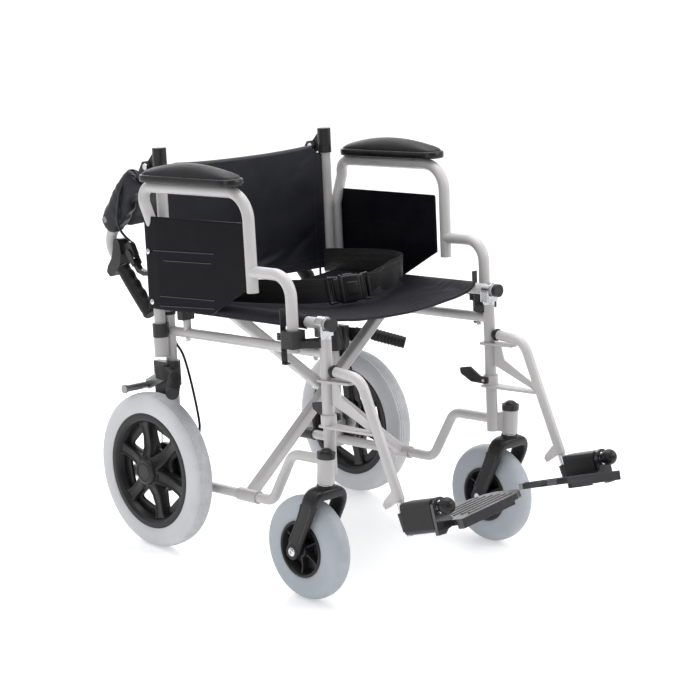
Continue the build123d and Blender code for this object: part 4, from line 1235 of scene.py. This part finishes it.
def build_side_panel():
    zs = set()
    for z in np.arange(484.6, 669.6, 6.0):
        zs.add(round(float(z), 2))
    for g, _, _, slope in RIDGES:
        for d in np.arange(-5.6, 5.7, 0.8):
            zs.add(round(g + float(d), 2))
    for z in (484.0, 486, 550, 552, 554, 650, 654, 657, 660, 662.5, 665, 667, 668.6, 669.6, 670.0):
        zs.add(float(z))
    zs = sorted(zs)
    pruned = [zs[0]]
    for z in zs[1:]:
        if z - pruned[-1] > 0.55:
            pruned.append(z)
    zs = pruned
    R = 10.0

    def y0(z):
        if z > 670 - R:
            d = z - (670 - R)
            return -4 - (R - math.sqrt(max(0.0, R * R - d * d)))
        return -4.0

    def y1(z):
        if z < 552:
            return lerp(-186, -312, (z - 484) / 68.0)
        if z > 664:
            d = z - 664
            return -312 + (6 - math.sqrt(max(0.0, 36 - d * d)))
        return -312.0

    def mid_x(y):
        # outer face of the panel
        return lerp(-264.6, -252.3, smooth(0, 1, 0) if y > -40 else (min(1.0, (-40 - y) / 260.0)))

    ncol = 84
    top, nn = [], []
    uv = []
    for z in zs:
        row = []
        a, b = y0(z), y1(z)
        for j in range(ncol):
            t = j / (ncol - 1)
            t = t + 0.0
            y = lerp(a, b, t)
            x = mid_x(y)
            g = 0.0
            for c, lo, hi, slope in RIDGES:
                w = smooth(lo - 3, lo + 3, y) * (1 - smooth(hi - 3, hi + 3, y))
                line = c + slope * (y - (lo + hi) / 2)
                g = min(g, -0.85 * w * max(0.0, 1 - ((z - line) / 1.5) ** 2))
            e = min(y - b, a - y, z - 484.0, 670.0 - z) if True else 0
            x_edge = 0.9 * (1 - smooth(0, 1.8, max(0.0, e)))
            warp = 0.5 * wob((0, y, z), 0.012, 2)
            row.append(W(x + g + x_edge + warp, y, z))
        top.append(row)
    vs, fs, uvs = sheet_part(top, lambda i, j: 0.0034, np.tile(np.array(WD(-1, 0, 0)), (len(zs), ncol, 1)), lambda i, j: (0, 0))
    parts = [(vs, fs)]
    pair("skirt_guard", parts, PANEL, "armrest", "panel_plastic", "side_panel", sharp=50)
    # Thin tubes along the pressed lines in the lighter line colour: painted highlight of the embossed lines.
    lines = []
    for c, lo, hi, slope in RIDGES:
        pts = []
        for k in range(25):
            y = lerp(hi, lo, k / 24)
            z = c + slope * (y - (lo + hi) / 2)
            pts.append(W(mid_x(y) - 0.85 + 0.5 * wob((0, y, z), 0.012, 2), y, z))
        lines.append(tube_part(pts, 0.0006, 8, straight=True))
    pair("guard_line_highlights", lines, PANEL_LINE_HIGHLIGHT, "armrest", "panel_plastic")
    scr = [screw_part(W(-265.0, -13, 599), WD(-1, 0, 0), 0.0056, 0.0026), screw_part(W(-265.0, -17, 498), WD(-1, 0, 0), 0.0056, 0.0026),
           screw_part(W(-252.6, -297, 561), WD(-1, 0, 0), 0.0040, 0.0020)]
    pair("guard_screws", scr, STEEL, "armrest", "steel")


build_side_panel()


# ------------------------------------------------------------------ lap belt
def strap(name, ctrl, width, thick, material, body, slot, twist=None, step=0.004, wave=None, lift=None):
    """A webbing strap on edge. ctrl is (x, yl, zl); twist(s) leans it, in radians."""
    pts = resample([W(*c) for c in ctrl], step)
    up0 = WD(0, 0, 1)
    fr = path_frames(pts, up0)
    n = 12
    vs, uvs = [], []
    s = 0.0
    total = sum((fr[i + 1][0] - fr[i][0]).length for i in range(len(fr) - 1))
    for i, (p, t, side, up) in enumerate(fr):
        if i:
            s += (p - fr[i - 1][0]).length
        a = twist(s / total) if twist else 0.0
        w = up * math.cos(a) + side * math.sin(a)
        h = side * math.cos(a) - up * math.sin(a)
        off = wave(s / total) if wave else 0.0
        rise = lift(s / total) if lift else 0.0
        c = p + h * off * 0.001 + up * rise * 0.001
        prof = [(-0.5, 0.0), (-0.495, 0.32), (-0.47, 0.5), (0.0, 0.5), (0.47, 0.5), (0.495, 0.32), (0.5, 0.0), (0.495, -0.32), (0.47, -0.5), (0.0, -0.5), (-0.47, -0.5), (-0.495, -0.32)]
        for a_, b_ in prof:
            vs.append(c + w * a_ * width + h * b_ * thick)
            uvs.append((s, a_ * width))
    fs = []
    for i in range(len(fr) - 1):
        for k in range(n):
            a, b = i * n + k, i * n + (k + 1) % n
            fs.append((a, b, b + n, a + n))
    fs.append(tuple(reversed(range(n))))
    fs.append(tuple((len(fr) - 1) * n + k for k in range(n)))
    o = mesh_piece(name, vs, fs, material, uvs, sharp=50)
    return o


def build_belt():
    def ride(o, side):
        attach(o, side + "frame")
        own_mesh(o)

    near = strap("right_lap_strap", [(-207, -40, 522), (-200, -62, 521), (-160, -112, 516), (-118, -168, 511), (-76, -224, 508.5), (-48, -260, 508.5), (-24, -281, 509)],
                 0.048, 0.0022, WEBBING, None, None, twist=lambda s: 0.05 * math.sin(s * 5.0), wave=lambda s: 1.5 * math.sin(s * 9))
    ride(near, "right_")
    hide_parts("lap_belt")
    far = strap("left_lap_strap", [(207, -14, 521), (213, -40, 523), (214, -100, 526), (213, -170, 530), (209, -222, 531), (203, -250, 530), (196, -263, 529), (184, -268, 528),
                                   (160, -274, 524), (128, -290, 517), (98, -292, 513), (70, -304, 511), (46, -303, 511)],
                0.048, 0.0022, WEBBING, None, None, twist=lambda s: 0.22 * math.sin(s * 9.0) * smooth(0.5, 0.75, s), wave=lambda s: 5.0 * math.sin(s * 26) * smooth(0.55, 0.7, s) * (1 - smooth(0.9, 1.0, s)))
    ride(far, "left_")
    # loose end of the strap where it doubles back from the adjuster
    tail = strap("left_strap_tail", [(50, -307, 511), (74, -308, 513), (104, -298, 517), (130, -297, 521), (150, -290, 525)],
                 0.046, 0.0018, WEBBING, None, None, twist=lambda s: 0.16 * math.sin(s * 6.0) + 0.12 * s, wave=lambda s: 1.5 + 4.0 * s * s)
    ride(tail, "left_")
    # side release buckle
    o = W(9, -294, 509)
    X = WD(0.90, -0.36, 0.04)
    Z = WD(-0.08, 0.10, 1)
    Y = Z.cross(X).normalized()
    parts = []
    body = box_part(o + X * 0.008, X, Z, Y, (0.040, 0.054, 0.014), 0.0042, 4)
    parts.append(body)
    # waist rails of the female half and the entry collar
    parts.append(box_part(o + X * 0.030, X, Z, Y, (0.010, 0.050, 0.0118), 0.003, 3))
    parts.append(box_part(o - X * 0.0135, X, Z, Y, (0.008, 0.058, 0.0160), 0.003, 3))
    # raised plaque, plain
    parts.append(box_part(o + X * 0.009 - Y * 0.0066, X, Z, Y, (0.024, 0.026, 0.003), 0.0012, 3))
    # side prongs of the male half, standing out at the body's sides
    for q in (1, -1):
        parts.append(box_part(o + X * 0.003 + Z * q * 0.0262, X, Z, Y, (0.024, 0.007, 0.0095), 0.003, 3))
    # male half with its strap slot bars
    parts.append(box_part(o - X * 0.0225, X, Z, Y, (0.014, 0.046, 0.010), 0.003, 3))
    for dx in (-0.0405, -0.0315):
        parts.append(tube_part([o + X * dx - Z * 0.026, o + X * dx + Z * 0.026], 0.0027, 10, straight=True))
    for q in (1, -1):
        parts.append(tube_part([o - X * 0.041 + Z * q * 0.026, o - X * 0.020 + Z * q * 0.0235], 0.0030, 10, straight=True))
    # adjuster bars on the far side
    for dx in (0.0375, 0.0465):
        parts.append(tube_part([o + X * dx - Z * 0.026, o + X * dx + Z * 0.026], 0.0026, 10, straight=True))
    for q in (1, -1):
        parts.append(tube_part([o + X * 0.030 + Z * q * 0.0235, o + X * 0.047 + Z * q * 0.026], 0.0029, 10, straight=True))
    b = mesh_piece("release_buckle", *join_parts(parts), GLOSSY)
    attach(b, "right_frame")
    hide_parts("belt_buckle")
    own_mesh(b)


build_belt()


# ------------------------------------------------------------------ wheels
def build_wheels():
    w = -0.2788
    ax = Vector((w, 0, 0.158))
    # tyre: smooth walls, five fine grooves round the tread
    prof = [(-0.0188, 0.1165), (-0.0205, 0.1185), (-0.0222, 0.1225), (-0.0231, 0.1290), (-0.0231, 0.1370), (-0.0222, 0.1440), (-0.0202, 0.1500), (-0.0172, 0.1541)]
    tread = []
    for k in range(-7, 8):
        x = k * 0.0021
        r = 0.158 - 0.0028 * (x / 0.0160) ** 2
        tread.append((x - 0.0007, r) if k % 2 else (x - 0.0007, r - 0.0009))
        tread.append((x + 0.0007, r) if k % 2 else (x + 0.0007, r - 0.0009))
    prof += tread + [(-x, r) for x, r in reversed(prof)]
    pair("rear_tyre_tread", [lathe_part(prof, ax, 160)], TYRE_REAR, "rear_wheel", "tyre_grey", "rear_tyre", sharp=28)
    # rim: barrel, web with six openings, deep spokes and the hub with its cap
    parts = []
    barrel = rounded([(-0.0196, 0.1188), (-0.0212, 0.1172), (-0.0212, 0.1062), (-0.0180, 0.1020), (-0.0060, 0.0955), (0.0060, 0.0955), (0.0180, 0.1020), (0.0212, 0.1062), (0.0212, 0.1172), (0.0196, 0.1188)], 0.0016, 3)
    parts.append(lathe_part(barrel, ax, 120))
    outer = [(0.0975 * math.cos(math.radians(a)), 0.0975 * math.sin(math.radians(a))) for a in range(0, 360, 3)]
    holes = []
    for k in range(6):
        mid = math.radians(15 + 30 + 60 * k)
        pts = []
        # opening between two spokes: outer edge, inner point, rounded corners
        r_out, r_in, half = 0.0885, 0.0455, 0.0115
        a_out = math.pi / 6 - math.asin(half / r_out)
        a_in = max(0.05, math.pi / 6 - math.asin(min(0.9, 0.0135 / r_in)))
        corner = [(r_out, -a_out), (r_out, a_out), (r_in, a_in), (r_in, -a_in)]
        ctrl = []
        for j in range(4):
            ctrl.append(Vector((corner[j][0] * math.cos(mid + corner[j][1]), corner[j][0] * math.sin(mid + corner[j][1]), 0)))
        rad = [0.016, 0.016, 0.007, 0.007]
        for j in range(4):
            p, a, b = ctrl[j], ctrl[j - 1] - ctrl[j], ctrl[(j + 1) % 4] - ctrl[j]
            q = min(rad[j], a.length * 0.48, b.length * 0.48)
            a, b = p + a.normalized() * q, p + b.normalized() * q
            for m in range(7):
                t = m / 6
                v = a * (1 - t) ** 2 + p * 2 * t * (1 - t) + b * t * t
                pts.append((v.x, v.y))
        fixed = []
        for x, y in pts:
            fixed.append((x, y))
        holes.append(fixed)
    hub_hole = [(0.020 * math.cos(math.radians(a)), 0.020 * math.sin(math.radians(a))) for a in range(0, 360, 12)]
    web = curve_disc("web_tmp", outer, holes + [hub_hole], 0.007, 0.0012)
    # plate plane: local x -> +Y, local y -> +Z, local z -> +X
    m = Matrix(((0, 0, 1, w + 0.002), (1, 0, 0, 0), (0, 1, 0, 0.158), (0, 0, 0, 1)))
    parts.append(put(web, m))
    for k in range(6):
        a = math.radians(15 + 60 * k)
        d = Vector((0, math.cos(a), math.sin(a)))
        c = Vector((0, -math.sin(a), math.cos(a)))
        secs = []
        for r, hw, xo, xi in ((0.024, 0.0150, -0.0260, 0.014), (0.034, 0.0140, -0.0200, 0.014), (0.050, 0.0126, -0.0140, 0.013), (0.070, 0.0116, -0.0118, 0.012), (0.088, 0.0120, -0.0130, 0.012), (0.0985, 0.0150, -0.0150, 0.012)):
            secs.append((r, hw, xo, xi))
        n = 16
        vs = []
        for r, hw, xo, xi in secs:
            o = ax + d * r
            ring = []
            e = 0.0028
            # outer face is dished between two lips
            prof2 = [(-hw, xi - e), (-hw, xo + e), (-hw + e * 0.4, xo + e * 0.4), (-hw + e, xo), (-hw + e * 1.6, xo + 0.0002), (-hw * 0.45, xo + 0.0024), (hw * 0.45, xo + 0.0024), (hw - e * 1.6, xo + 0.0002), (hw - e, xo), (hw - e * 0.4, xo + e * 0.4), (hw, xo + e), (hw, xi - e),
                     (hw - e, xi), (hw * 0.4, xi), (-hw * 0.4, xi), (-hw + e, xi)]
            for cy, cx in prof2:
                ring.append(o + c * cy + Vector((cx, 0, 0)))
            vs += ring
        fs = []
        for i in range(len(secs) - 1):
            for j in range(n):
                p, q = i * n + j, i * n + (j + 1) % n
                fs.append((p, q, q + n, p + n))
        fs.append(tuple(reversed(range(n))))
        fs.append(tuple((len(secs) - 1) * n + j for j in range(n)))
        parts.append((vs, fs))
    hub = [(-0.246 - w, 0.0063), (-0.246 - w, 0.049), (-0.247 - w, 0.050), (-0.2555 - w, 0.050), (-0.257 - w, 0.0485), (-0.2585 - w, 0.037), (-0.262 - w, 0.0345), (-0.270 - w, 0.0335), (-0.290 - w, 0.0325),
           (-0.2985 - w, 0.0315), (-0.3020 - w, 0.0300), (-0.3026 - w, 0.0282), (-0.3060 - w, 0.0275), (-0.3095 - w, 0.0262), (-0.3112 - w, 0.0240), (-0.3116 - w, 0.0196), (-0.3106 - w, 0.0188), (-0.3106 - w, 0.0172), (-0.3117 - w, 0.0164), (-0.3119 - w, 0.0),
           (-0.3065 - w, 0.0), (-0.3065 - w, 0.0063)]
    parts.append(lathe_part(hub, ax, 72, closed=True))
    # arc rib on the cap
    arc = []
    for k in range(15):
        a = math.radians(-30 + 11 * k)
        arc.append(Vector((-0.3110, math.cos(a) * 0.0225, 0.158 + math.sin(a) * 0.0225)))
    parts.append(tube_part(arc, 0.0014, 8, straight=True))
    pair("rear_wheel_rim", parts, RIM, "rear_wheel", "black_plastic", "rear_rim", sharp=35)

    # castor tyre, rim and fork
    cx = -0.2553
    ac = Vector((cx, -0.4288, 0.1005))
    prof = [(-0.0200, 0.0536), (-0.0222, 0.0556), (-0.0234, 0.0600), (-0.0238, 0.0680), (-0.0238, 0.0770), (-0.0231, 0.0835), (-0.0212, 0.0892), (-0.0178, 0.0940), (-0.0132, 0.0974), (-0.0075, 0.0996), (-0.0014, 0.10045), (-0.0006, 0.10030)]
    prof += [(-x, r) for x, r in reversed(prof)]
    pair("castor_tyre_solid", [lathe_part(prof, ac, 128)], TYRE_CASTOR, "castor_wheel", "tyre_grey", "castor_tyre", sharp=50)
    parts = []
    barrel = rounded([(-0.0200, 0.0552), (-0.0240, 0.0548), (-0.0250, 0.0520), (-0.0240, 0.0492), (-0.0200, 0.0478), (-0.0060, 0.0425), (0.0060, 0.0425), (0.0200, 0.0478), (0.0240, 0.0492), (0.0250, 0.0520), (0.0240, 0.0548), (0.0200, 0.0552)], 0.0012, 3)
    parts.append(lathe_part(barrel, ac, 96))
    parts.append(lathe_part([(-0.0025, 0.012), (-0.0025, 0.0450), (0.0025, 0.0450), (0.0025, 0.012)], ac, 72))
    hubp = rounded([(-0.0265, 0.0063), (-0.0265, 0.0120), (-0.0240, 0.0158), (-0.0080, 0.0172), (0.0080, 0.0172), (0.0240, 0.0158), (0.0265, 0.0120), (0.0265, 0.0063)], 0.001, 2)
    parts.append(lathe_part(hubp, ac, 48))
    for k in range(6):
        a = math.radians(30 + 60 * k)
        d = Vector((0, math.cos(a), math.sin(a)))
        c = Vector((0, -math.sin(a), math.cos(a)))
        vs = []
        for r, h, t in ((0.013, 0.0205, 0.0024), (0.024, 0.0185, 0.0019), (0.036, 0.0172, 0.0017), (0.0475, 0.0190, 0.0024)):
            o = ac + d * r
            for q, x in ((-t, -h + 0.001), (-t * 0.5, -h), (t * 0.5, -h), (t, -h + 0.001), (t, h - 0.001), (t * 0.5, h), (-t * 0.5, h), (-t, h - 0.001)):
                vs.append(o + c * q + Vector((x, 0, 0)))
        fs = []
        for i in range(3):
            for j in range(8):
                p, q = i * 8 + j, i * 8 + (j + 1) % 8
                fs.append((p, q, q + 8, p + 8))
        fs.append(tuple(reversed(range(8))))
        fs.append(tuple(24 + j for j in range(8)))
        parts.append((vs, fs))
    pair("castor_wheel_rim", parts, RIM, "castor_wheel", "black_plastic", "castor_rim", sharp=35)

    # fork: one moulded U, kinked back from the stem to the axle
    leg = [(-0.0385, -0.4288, 0.0905, 0.0130, 0.0058), (-0.0385, -0.4288, 0.1005, 0.0158, 0.0064), (-0.0385, -0.4335, 0.1150, 0.0168, 0.0064), (-0.0385, -0.4420, 0.1360, 0.0165, 0.0062), (-0.0385, -0.4530, 0.1600, 0.0165, 0.0062),
           (-0.0388, -0.4620, 0.1810, 0.0170, 0.0063), (-0.0386, -0.4680, 0.1980, 0.0178, 0.0068), (-0.0360, -0.4705, 0.2110, 0.0182, 0.0085), (-0.0290, -0.4715, 0.2185, 0.0185, 0.0105), (-0.0170, -0.4718, 0.2195, 0.0190, 0.0118), (0.0, -0.4718, 0.2195, 0.0195, 0.0122)]
    path = leg + [(-x, y, z, a, b) for x, y, z, a, b in reversed(leg[:-1])]
    pts = [Vector((cx + x, y, z)) for x, y, z, a, b in path]
    n = 20
    vs = []
    for i, p in enumerate(pts):
        t = (pts[min(len(pts) - 1, i + 1)] - pts[max(0, i - 1)]).normalized()
        # the width stays near the fore-and-aft direction
        wdir = Vector((0, 1, 0))
        wdir = (wdir - t * wdir.dot(t)).normalized()
        h = t.cross(wdir).normalized()
        a, b = path[i][3], path[i][4]
        for m in range(n):
            th = 2 * math.pi * m / n
            c, s = math.cos(th), math.sin(th)
            vs.append(p + wdir * math.copysign(abs(c) ** 0.55, c) * a + h * math.copysign(abs(s) ** 0.55, s) * b)
    fs = []
    for i in range(len(pts) - 1):
        for j in range(n):
            p, q = i * n + j, i * n + (j + 1) % n
            fs.append((p, q, q + n, p + n))
    fs.append(tuple(reversed(range(n))))
    fs.append(tuple((len(pts) - 1) * n + j for j in range(n)))
    me = bpy.data.meshes.new("fork_tmp")
    me.from_pydata([tuple(v) for v in vs], [], fs)
    o = bpy.data.objects.new("fork_tmp", me)
    scene.collection.objects.link(o)
    sub = o.modifiers.new("s", "SUBSURF")
    sub.levels = sub.render_levels = 1
    dg = bpy.context.evaluated_depsgraph_get()
    fine = bpy.data.meshes.new_from_object(o.evaluated_get(dg))
    parts = [([v.co.copy() for v in fine.vertices], [tuple(q.vertices) for q in fine.polygons])]
    bpy.data.objects.remove(o)
    # axle bosses, stiffening flange along the legs' front edges and the stem
    for q in (-1, 1):
        bx = cx + q * 0.0385
        parts.append(lathe_part(rounded([(-0.0070, 0.0062), (-0.0070, 0.0150), (0.0070, 0.0150), (0.0070, 0.0062)], 0.0015, 3), Vector((bx, -0.4288, 0.1005)), 40))
        parts.append(tube_part([Vector((bx + q * 0.0050, y, z)) for y, z in ((-0.4780, 0.1000 + 0.098), (-0.4765, 0.1860), (-0.4680, 0.1640), (-0.4570, 0.1390), (-0.4485, 0.1200))], 0.0022, 8))
        parts.append(tube_part([Vector((bx + q * 0.0050, y, z)) for y, z in ((-0.4520, 0.2000), (-0.4485, 0.1860), (-0.4395, 0.1620), (-0.4290, 0.1380), (-0.4205, 0.1200))], 0.0020, 8))
    parts.append(lathe_part(rounded([(0.0, 0.0), (0.0, 0.0178), (0.0050, 0.0165), (0.0070, 0.0)], 0.001, 2), Vector((cx, -0.472, 0.2300)), 40, (0, 0, 1), (1, 0, 0)))
    pair("castor_fork_moulded", parts, FORK, "castor", "black_plastic", "castor_fork", sharp=40)
    stem = [lathe_part([(-0.004, 0.0), (-0.004, 0.0135), (-0.0010, 0.0135), (-0.0005, 0.0120), (0.0015, 0.0120), (0.0020, 0.0148), (0.0058, 0.0148), (0.0064, 0.0110), (0.0080, 0.0110), (0.010, 0.0079), (0.0600, 0.0079), (0.0600, 0.0)],
                       Vector((cx, -0.472, 0.2305)), 40, (0, 0, 1), (1, 0, 0), closed=False)]
    pair("castor_stem", stem, STEEL, "castor", "steel")
    for i, q in ((0, -1), (1, 1)):
        pass
    caps = [screw_part(Vector((cx - 0.0445, -0.4288, 0.1005)), (-1, 0, 0), 0.0086, 0.0034)]
    pair("castor_axle_cap", caps, STEEL, "castor", "steel")


build_wheels()


# ------------------------------------------------------------------ push handle grip, cables and small fittings
def build_handles():
    # grip with four finger hollows underneath and a flanged end
    n, seg = 90, 28
    a, b = UT(66, 0), UT(187.5, 0)
    d = (b - a).normalized()
    down = (UT(66, 1) - UT(66, 0)).normalized()
    side = d.cross(down).normalized()
    vs, fs = [], []
    for i in range(n + 1):
        t = i / n
        s = t * 121.5
        core = 14.6 + 0.6 * math.sin(math.pi * t)
        if s < 5:
            core = 15.2
        if s > 114:
            core = lerp(15.6, 13.2, smooth(117.5, 121.5, s))
        for j in range(seg):
            th = 2 * math.pi * j / seg
            c = math.cos(th)
            under = max(0.0, c)
            hollow = 3.3 * under ** 1.5 * (0.5 - 0.5 * math.cos(2 * math.pi * (s - 8) / 25.5)) if 8 < s < 110 else 0
            rib = 0.45 * (0.5 + 0.5 * math.cos(2 * math.pi * s / 4.0)) * max(0.0, -c) if 12 < s < 108 else 0
            r = (core + hollow * 1.0 - 2.0 * under + rib) * 0.001
            vs.append(a + d * s * 0.001 + down * c * r + side * math.sin(th) * r)
    for i in range(n):
        for j in range(seg):
            p, q = i * seg + j, i * seg + (j + 1) % seg
            fs.append((p, q, q + seg, p + seg))
    fs.append(tuple(reversed(range(seg))))
    fs.append(tuple(n * seg + j for j in range(seg)))
    pair("hand_grip", [(vs, fs)], RUBBER, "push_handle", "black_rubber", "push_grip", sharp=50)

    # brake cable: from the lever nose, up the folded tube, round the hinge and down the rear post to the drum
    path = [UT(50, 56.5, -224), UT(42, 60, -225), W(-232, 99, 616), W(-240.5, 106, 633), W(-244.3, 108, 656), W(-244.4, 103, 680), W(-244, 97, 704), W(-241, 91, 721), W(-232, 84, 733), W(-218, 70, 741), W(-208.5, 48, 742), W(-206, 26, 742), W(-206, 8, 737), W(-206, 4, 722),
            W(-207.5, 0, 690), W(-207.5, -2, 560), W(-207.5, -3, 450), W(-208, -10, 410), W(-211, -36, 385), W(-214, -58, 340), W(-217, -80, 270), W(-222, -88, 235), W(-232, -80, 200), W(-236.5, -62, 192)]
    part = tube_part(path, 0.0026, 10, 0.005)
    o = mesh_piece("right_brake_cable", *part, CABLE)
    t = mirrored(o, "left_brake_cable")
    for side_name, q, sgn in (("right_", o, -1), ("left_", t, 1)):
        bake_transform(q)
    ends = [tube_part([UT(52, 55.6, -224), UT(42, 60, -225)], 0.0042, 12, straight=True)]
    pair("cable_ferrule", ends, STEEL, "push_handle", "steel")
    stay = [tube_part([V(-240, 30, 312), V(-240, 30, 170)], 0.0013, 8, straight=True), tube_part([V(-240, 30, 172), V(-240, 14, 166), V(-240, 6, 166)], 0.0013, 8)]
    pair("brake_stay", stay, DARK_STEEL, "frame", "steel")
    clips = []
    for z in (470,):
        clips.append(lathe_part(rounded([(-0.0035, 0.0114), (-0.0035, 0.0136), (0.0035, 0.0136), (0.0035, 0.0114)], 0.0008, 2), W(-224, -16, z), 32, WD(0, 0, 1), (1, 0, 0)))
        clips.append(tube_part([W(-211.5, -12, z), W(-207, -6, z), W(-204.2, -2, z), W(-206.5, 2.4, z), W(-211, -4, z)], 0.0017, 8))
    pair("cable_clips", clips, CABLE, "frame", "black_plastic")


build_handles()


def build_fittings():
    # bush between the front post and the hanger tube
    bush = lathe_part([(-0.0062, 0.0), (-0.0062, 0.0086), (-0.0016, 0.0094), (-0.0010, 0.0116), (0.0000, 0.0123), (0.0040, 0.0123), (0.0050, 0.0116), (0.0056, 0.0102), (0.0063, 0.0)],
                      V(-224, -455.6, 443), 36, (0, -1, 0), (1, 0, 0), closed=False)
    pair("hanger_bush", [bush], PLASTIC, "hanger", "black_plastic")
    # bright hexagon behind the footrest knob
    c, s = math.cos(math.radians(19)), math.sin(math.radians(19))
    at = V(-225.5, -746 + 5.95 * c, 254 - 5.95 * s)
    nut = lathe_part([(-0.0018, 0.0088), (-0.0018, 0.0128), (-0.0012, 0.0137), (0.0012, 0.0137), (0.0018, 0.0128), (0.0018, 0.0088)], at, 6, (0, -c, s), (1, 0, 0))
    pair("knob_nut", [nut], STEEL, "hanger", "steel")
    # bright strap over the seat rail above each front saddle
    for side, body, sg in (("right_", "brace_b", -1), ("left_", "brace_a", 1)):
        vs, fs = [], []
        n, m = 24, 6
        prof = [(-10.2, 11.1), (-10.2, 13.6), (-9.4, 14.3), (9.4, 14.3), (10.2, 13.6), (10.2, 11.1)]
        for i in range(n + 1):
            a = math.radians(lerp(-6, 186, i / n))
            for dy, r in prof:
                vs.append(W(sg * 228 + r * math.cos(a), -474 + dy, 490 + r * math.sin(a)))
        for i in range(n):
            for k in range(m):
                q, w = i * m + k, i * m + (k + 1) % m
                fs.append((q, w, w + m, q + m))
        fs.append(tuple(reversed(range(m))))
        fs.append(tuple(n * m + k for k in range(m)))
        o = mesh_piece(side + "rail_strap", vs, fs, STEEL)
        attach(o, body)


build_fittings()


# ------------------------------------------------------------------ floor, light and camera
def stage():
    me = bpy.data.meshes.new("floor")
    s = 14.0
    me.from_pydata([(-s, -s, 0), (s, -s, 0), (s, s, 0), (-s, s, 0)], [], [(0, 1, 2, 3)])
    o = bpy.data.objects.new("floor", me)
    scene.collection.objects.link(o)
    k = Nodes("pale_floor")
    c = k.noise(3, 3)
    col = k.mix(k.ramp(c, 0.3, 0.7), (0.90, 0.90, 0.905), (0.93, 0.93, 0.93))
    k.done(col, 0.34, None, Specular_IOR_Level=0.5)
    k.b.inputs["Emission Color"].default_value = (1, 1, 1, 1)
    k.b.inputs["Emission Strength"].default_value = 0.30
    me.materials.append(k.m)

    w = bpy.data.worlds.new("studio")
    scene.world = w
    w.use_nodes = True
    t = w.node_tree
    t.nodes.clear()
    out = t.nodes.new("ShaderNodeOutputWorld")
    bg = t.nodes.new("ShaderNodeBackground")
    seen = t.nodes.new("ShaderNodeBackground")
    seen.inputs["Color"].default_value = (1, 1, 1, 1)
    seen.inputs["Strength"].default_value = 1.05
    mix = t.nodes.new("ShaderNodeMixShader")
    lp = t.nodes.new("ShaderNodeLightPath")
    tc = t.nodes.new("ShaderNodeTexCoord")
    dot = t.nodes.new("ShaderNodeVectorMath")
    dot.operation = "DOT_PRODUCT"
    dot.inputs[1].default_value = (0.48, 0.52, 0.70)
    mr = t.nodes.new("ShaderNodeMapRange")
    mr.inputs["From Min"].default_value = -0.6
    mr.inputs["From Max"].default_value = 0.7
    mr.inputs["To Min"].default_value = 0.06
    mr.inputs["To Max"].default_value = 1.0
    t.links.new(tc.outputs["Generated"], dot.inputs[0])
    t.links.new(dot.outputs["Value"], mr.inputs["Value"])
    t.links.new(mr.outputs["Result"], bg.inputs["Strength"])
    bg.inputs["Color"].default_value = (0.97, 0.98, 1.0, 1)
    t.links.new(lp.outputs["Is Camera Ray"], mix.inputs[0])
    t.links.new(bg.outputs[0], mix.inputs[1])
    t.links.new(seen.outputs[0], mix.inputs[2])
    t.links.new(mix.outputs[0], out.inputs["Surface"])

    def area(name, at, to, size, power, color=(1, 1, 1)):
        li = bpy.data.lights.new(name, "AREA")
        li.shape = "RECTANGLE"
        li.size, li.size_y = size
        li.energy = power
        li.color = color
        ob = bpy.data.objects.new(name, li)
        ob.location = at
        ob.rotation_mode = "QUATERNION"
        ob.rotation_quaternion = (Vector(to) - Vector(at)).to_track_quat("-Z", "Y")
        scene.collection.objects.link(ob)

    area("top", (0.3, 0.2, 3.0), (0, -0.1, 0.4), (2.6, 2.6), 62)
    area("key", (1.6, -2.6, 2.1), (0, -0.2, 0.45), (1.6, 1.6), 34, (1.0, 0.99, 0.97))
    area("fill", (-3.0, -1.4, 1.5), (0, -0.1, 0.45), (1.6, 2.0), 18, (0.97, 0.98, 1.0))
    area("back", (1.2, 2.8, 1.8), (0, 0, 0.5), (2.4, 1.6), 26)

    az, el, roll, dist = math.radians(-43.5), math.radians(14.07), math.radians(0.77), 4.24
    B = Vector((math.sin(az) * math.cos(el), -math.cos(az) * math.cos(el), math.sin(el)))
    R = Vector((math.cos(az), math.sin(az), 0))
    Up = B.cross(R)
    R2 = R * math.cos(roll) + Up * math.sin(roll)
    U2 = -R * math.sin(roll) + Up * math.cos(roll)
    cam = bpy.data.cameras.new("camera")
    cam.sensor_width = 36.0
    cam.lens = 108.3
    cam.shift_x, cam.shift_y = 0.0336, -0.0009
    co = bpy.data.objects.new("camera", cam)
    scene.collection.objects.link(co)
    T = Vector((0, -0.2, 0.4))
    co.matrix_world = Matrix(((R2.x, U2.x, B.x, 0), (R2.y, U2.y, B.y, 0), (R2.z, U2.z, B.z, 0), (0, 0, 0, 1)))
    co.location = T + B * dist
    scene.camera = co
    scene.view_settings.view_transform = "Standard"
    scene.view_settings.look = "None"


stage()
bpy.context.view_layer.update()
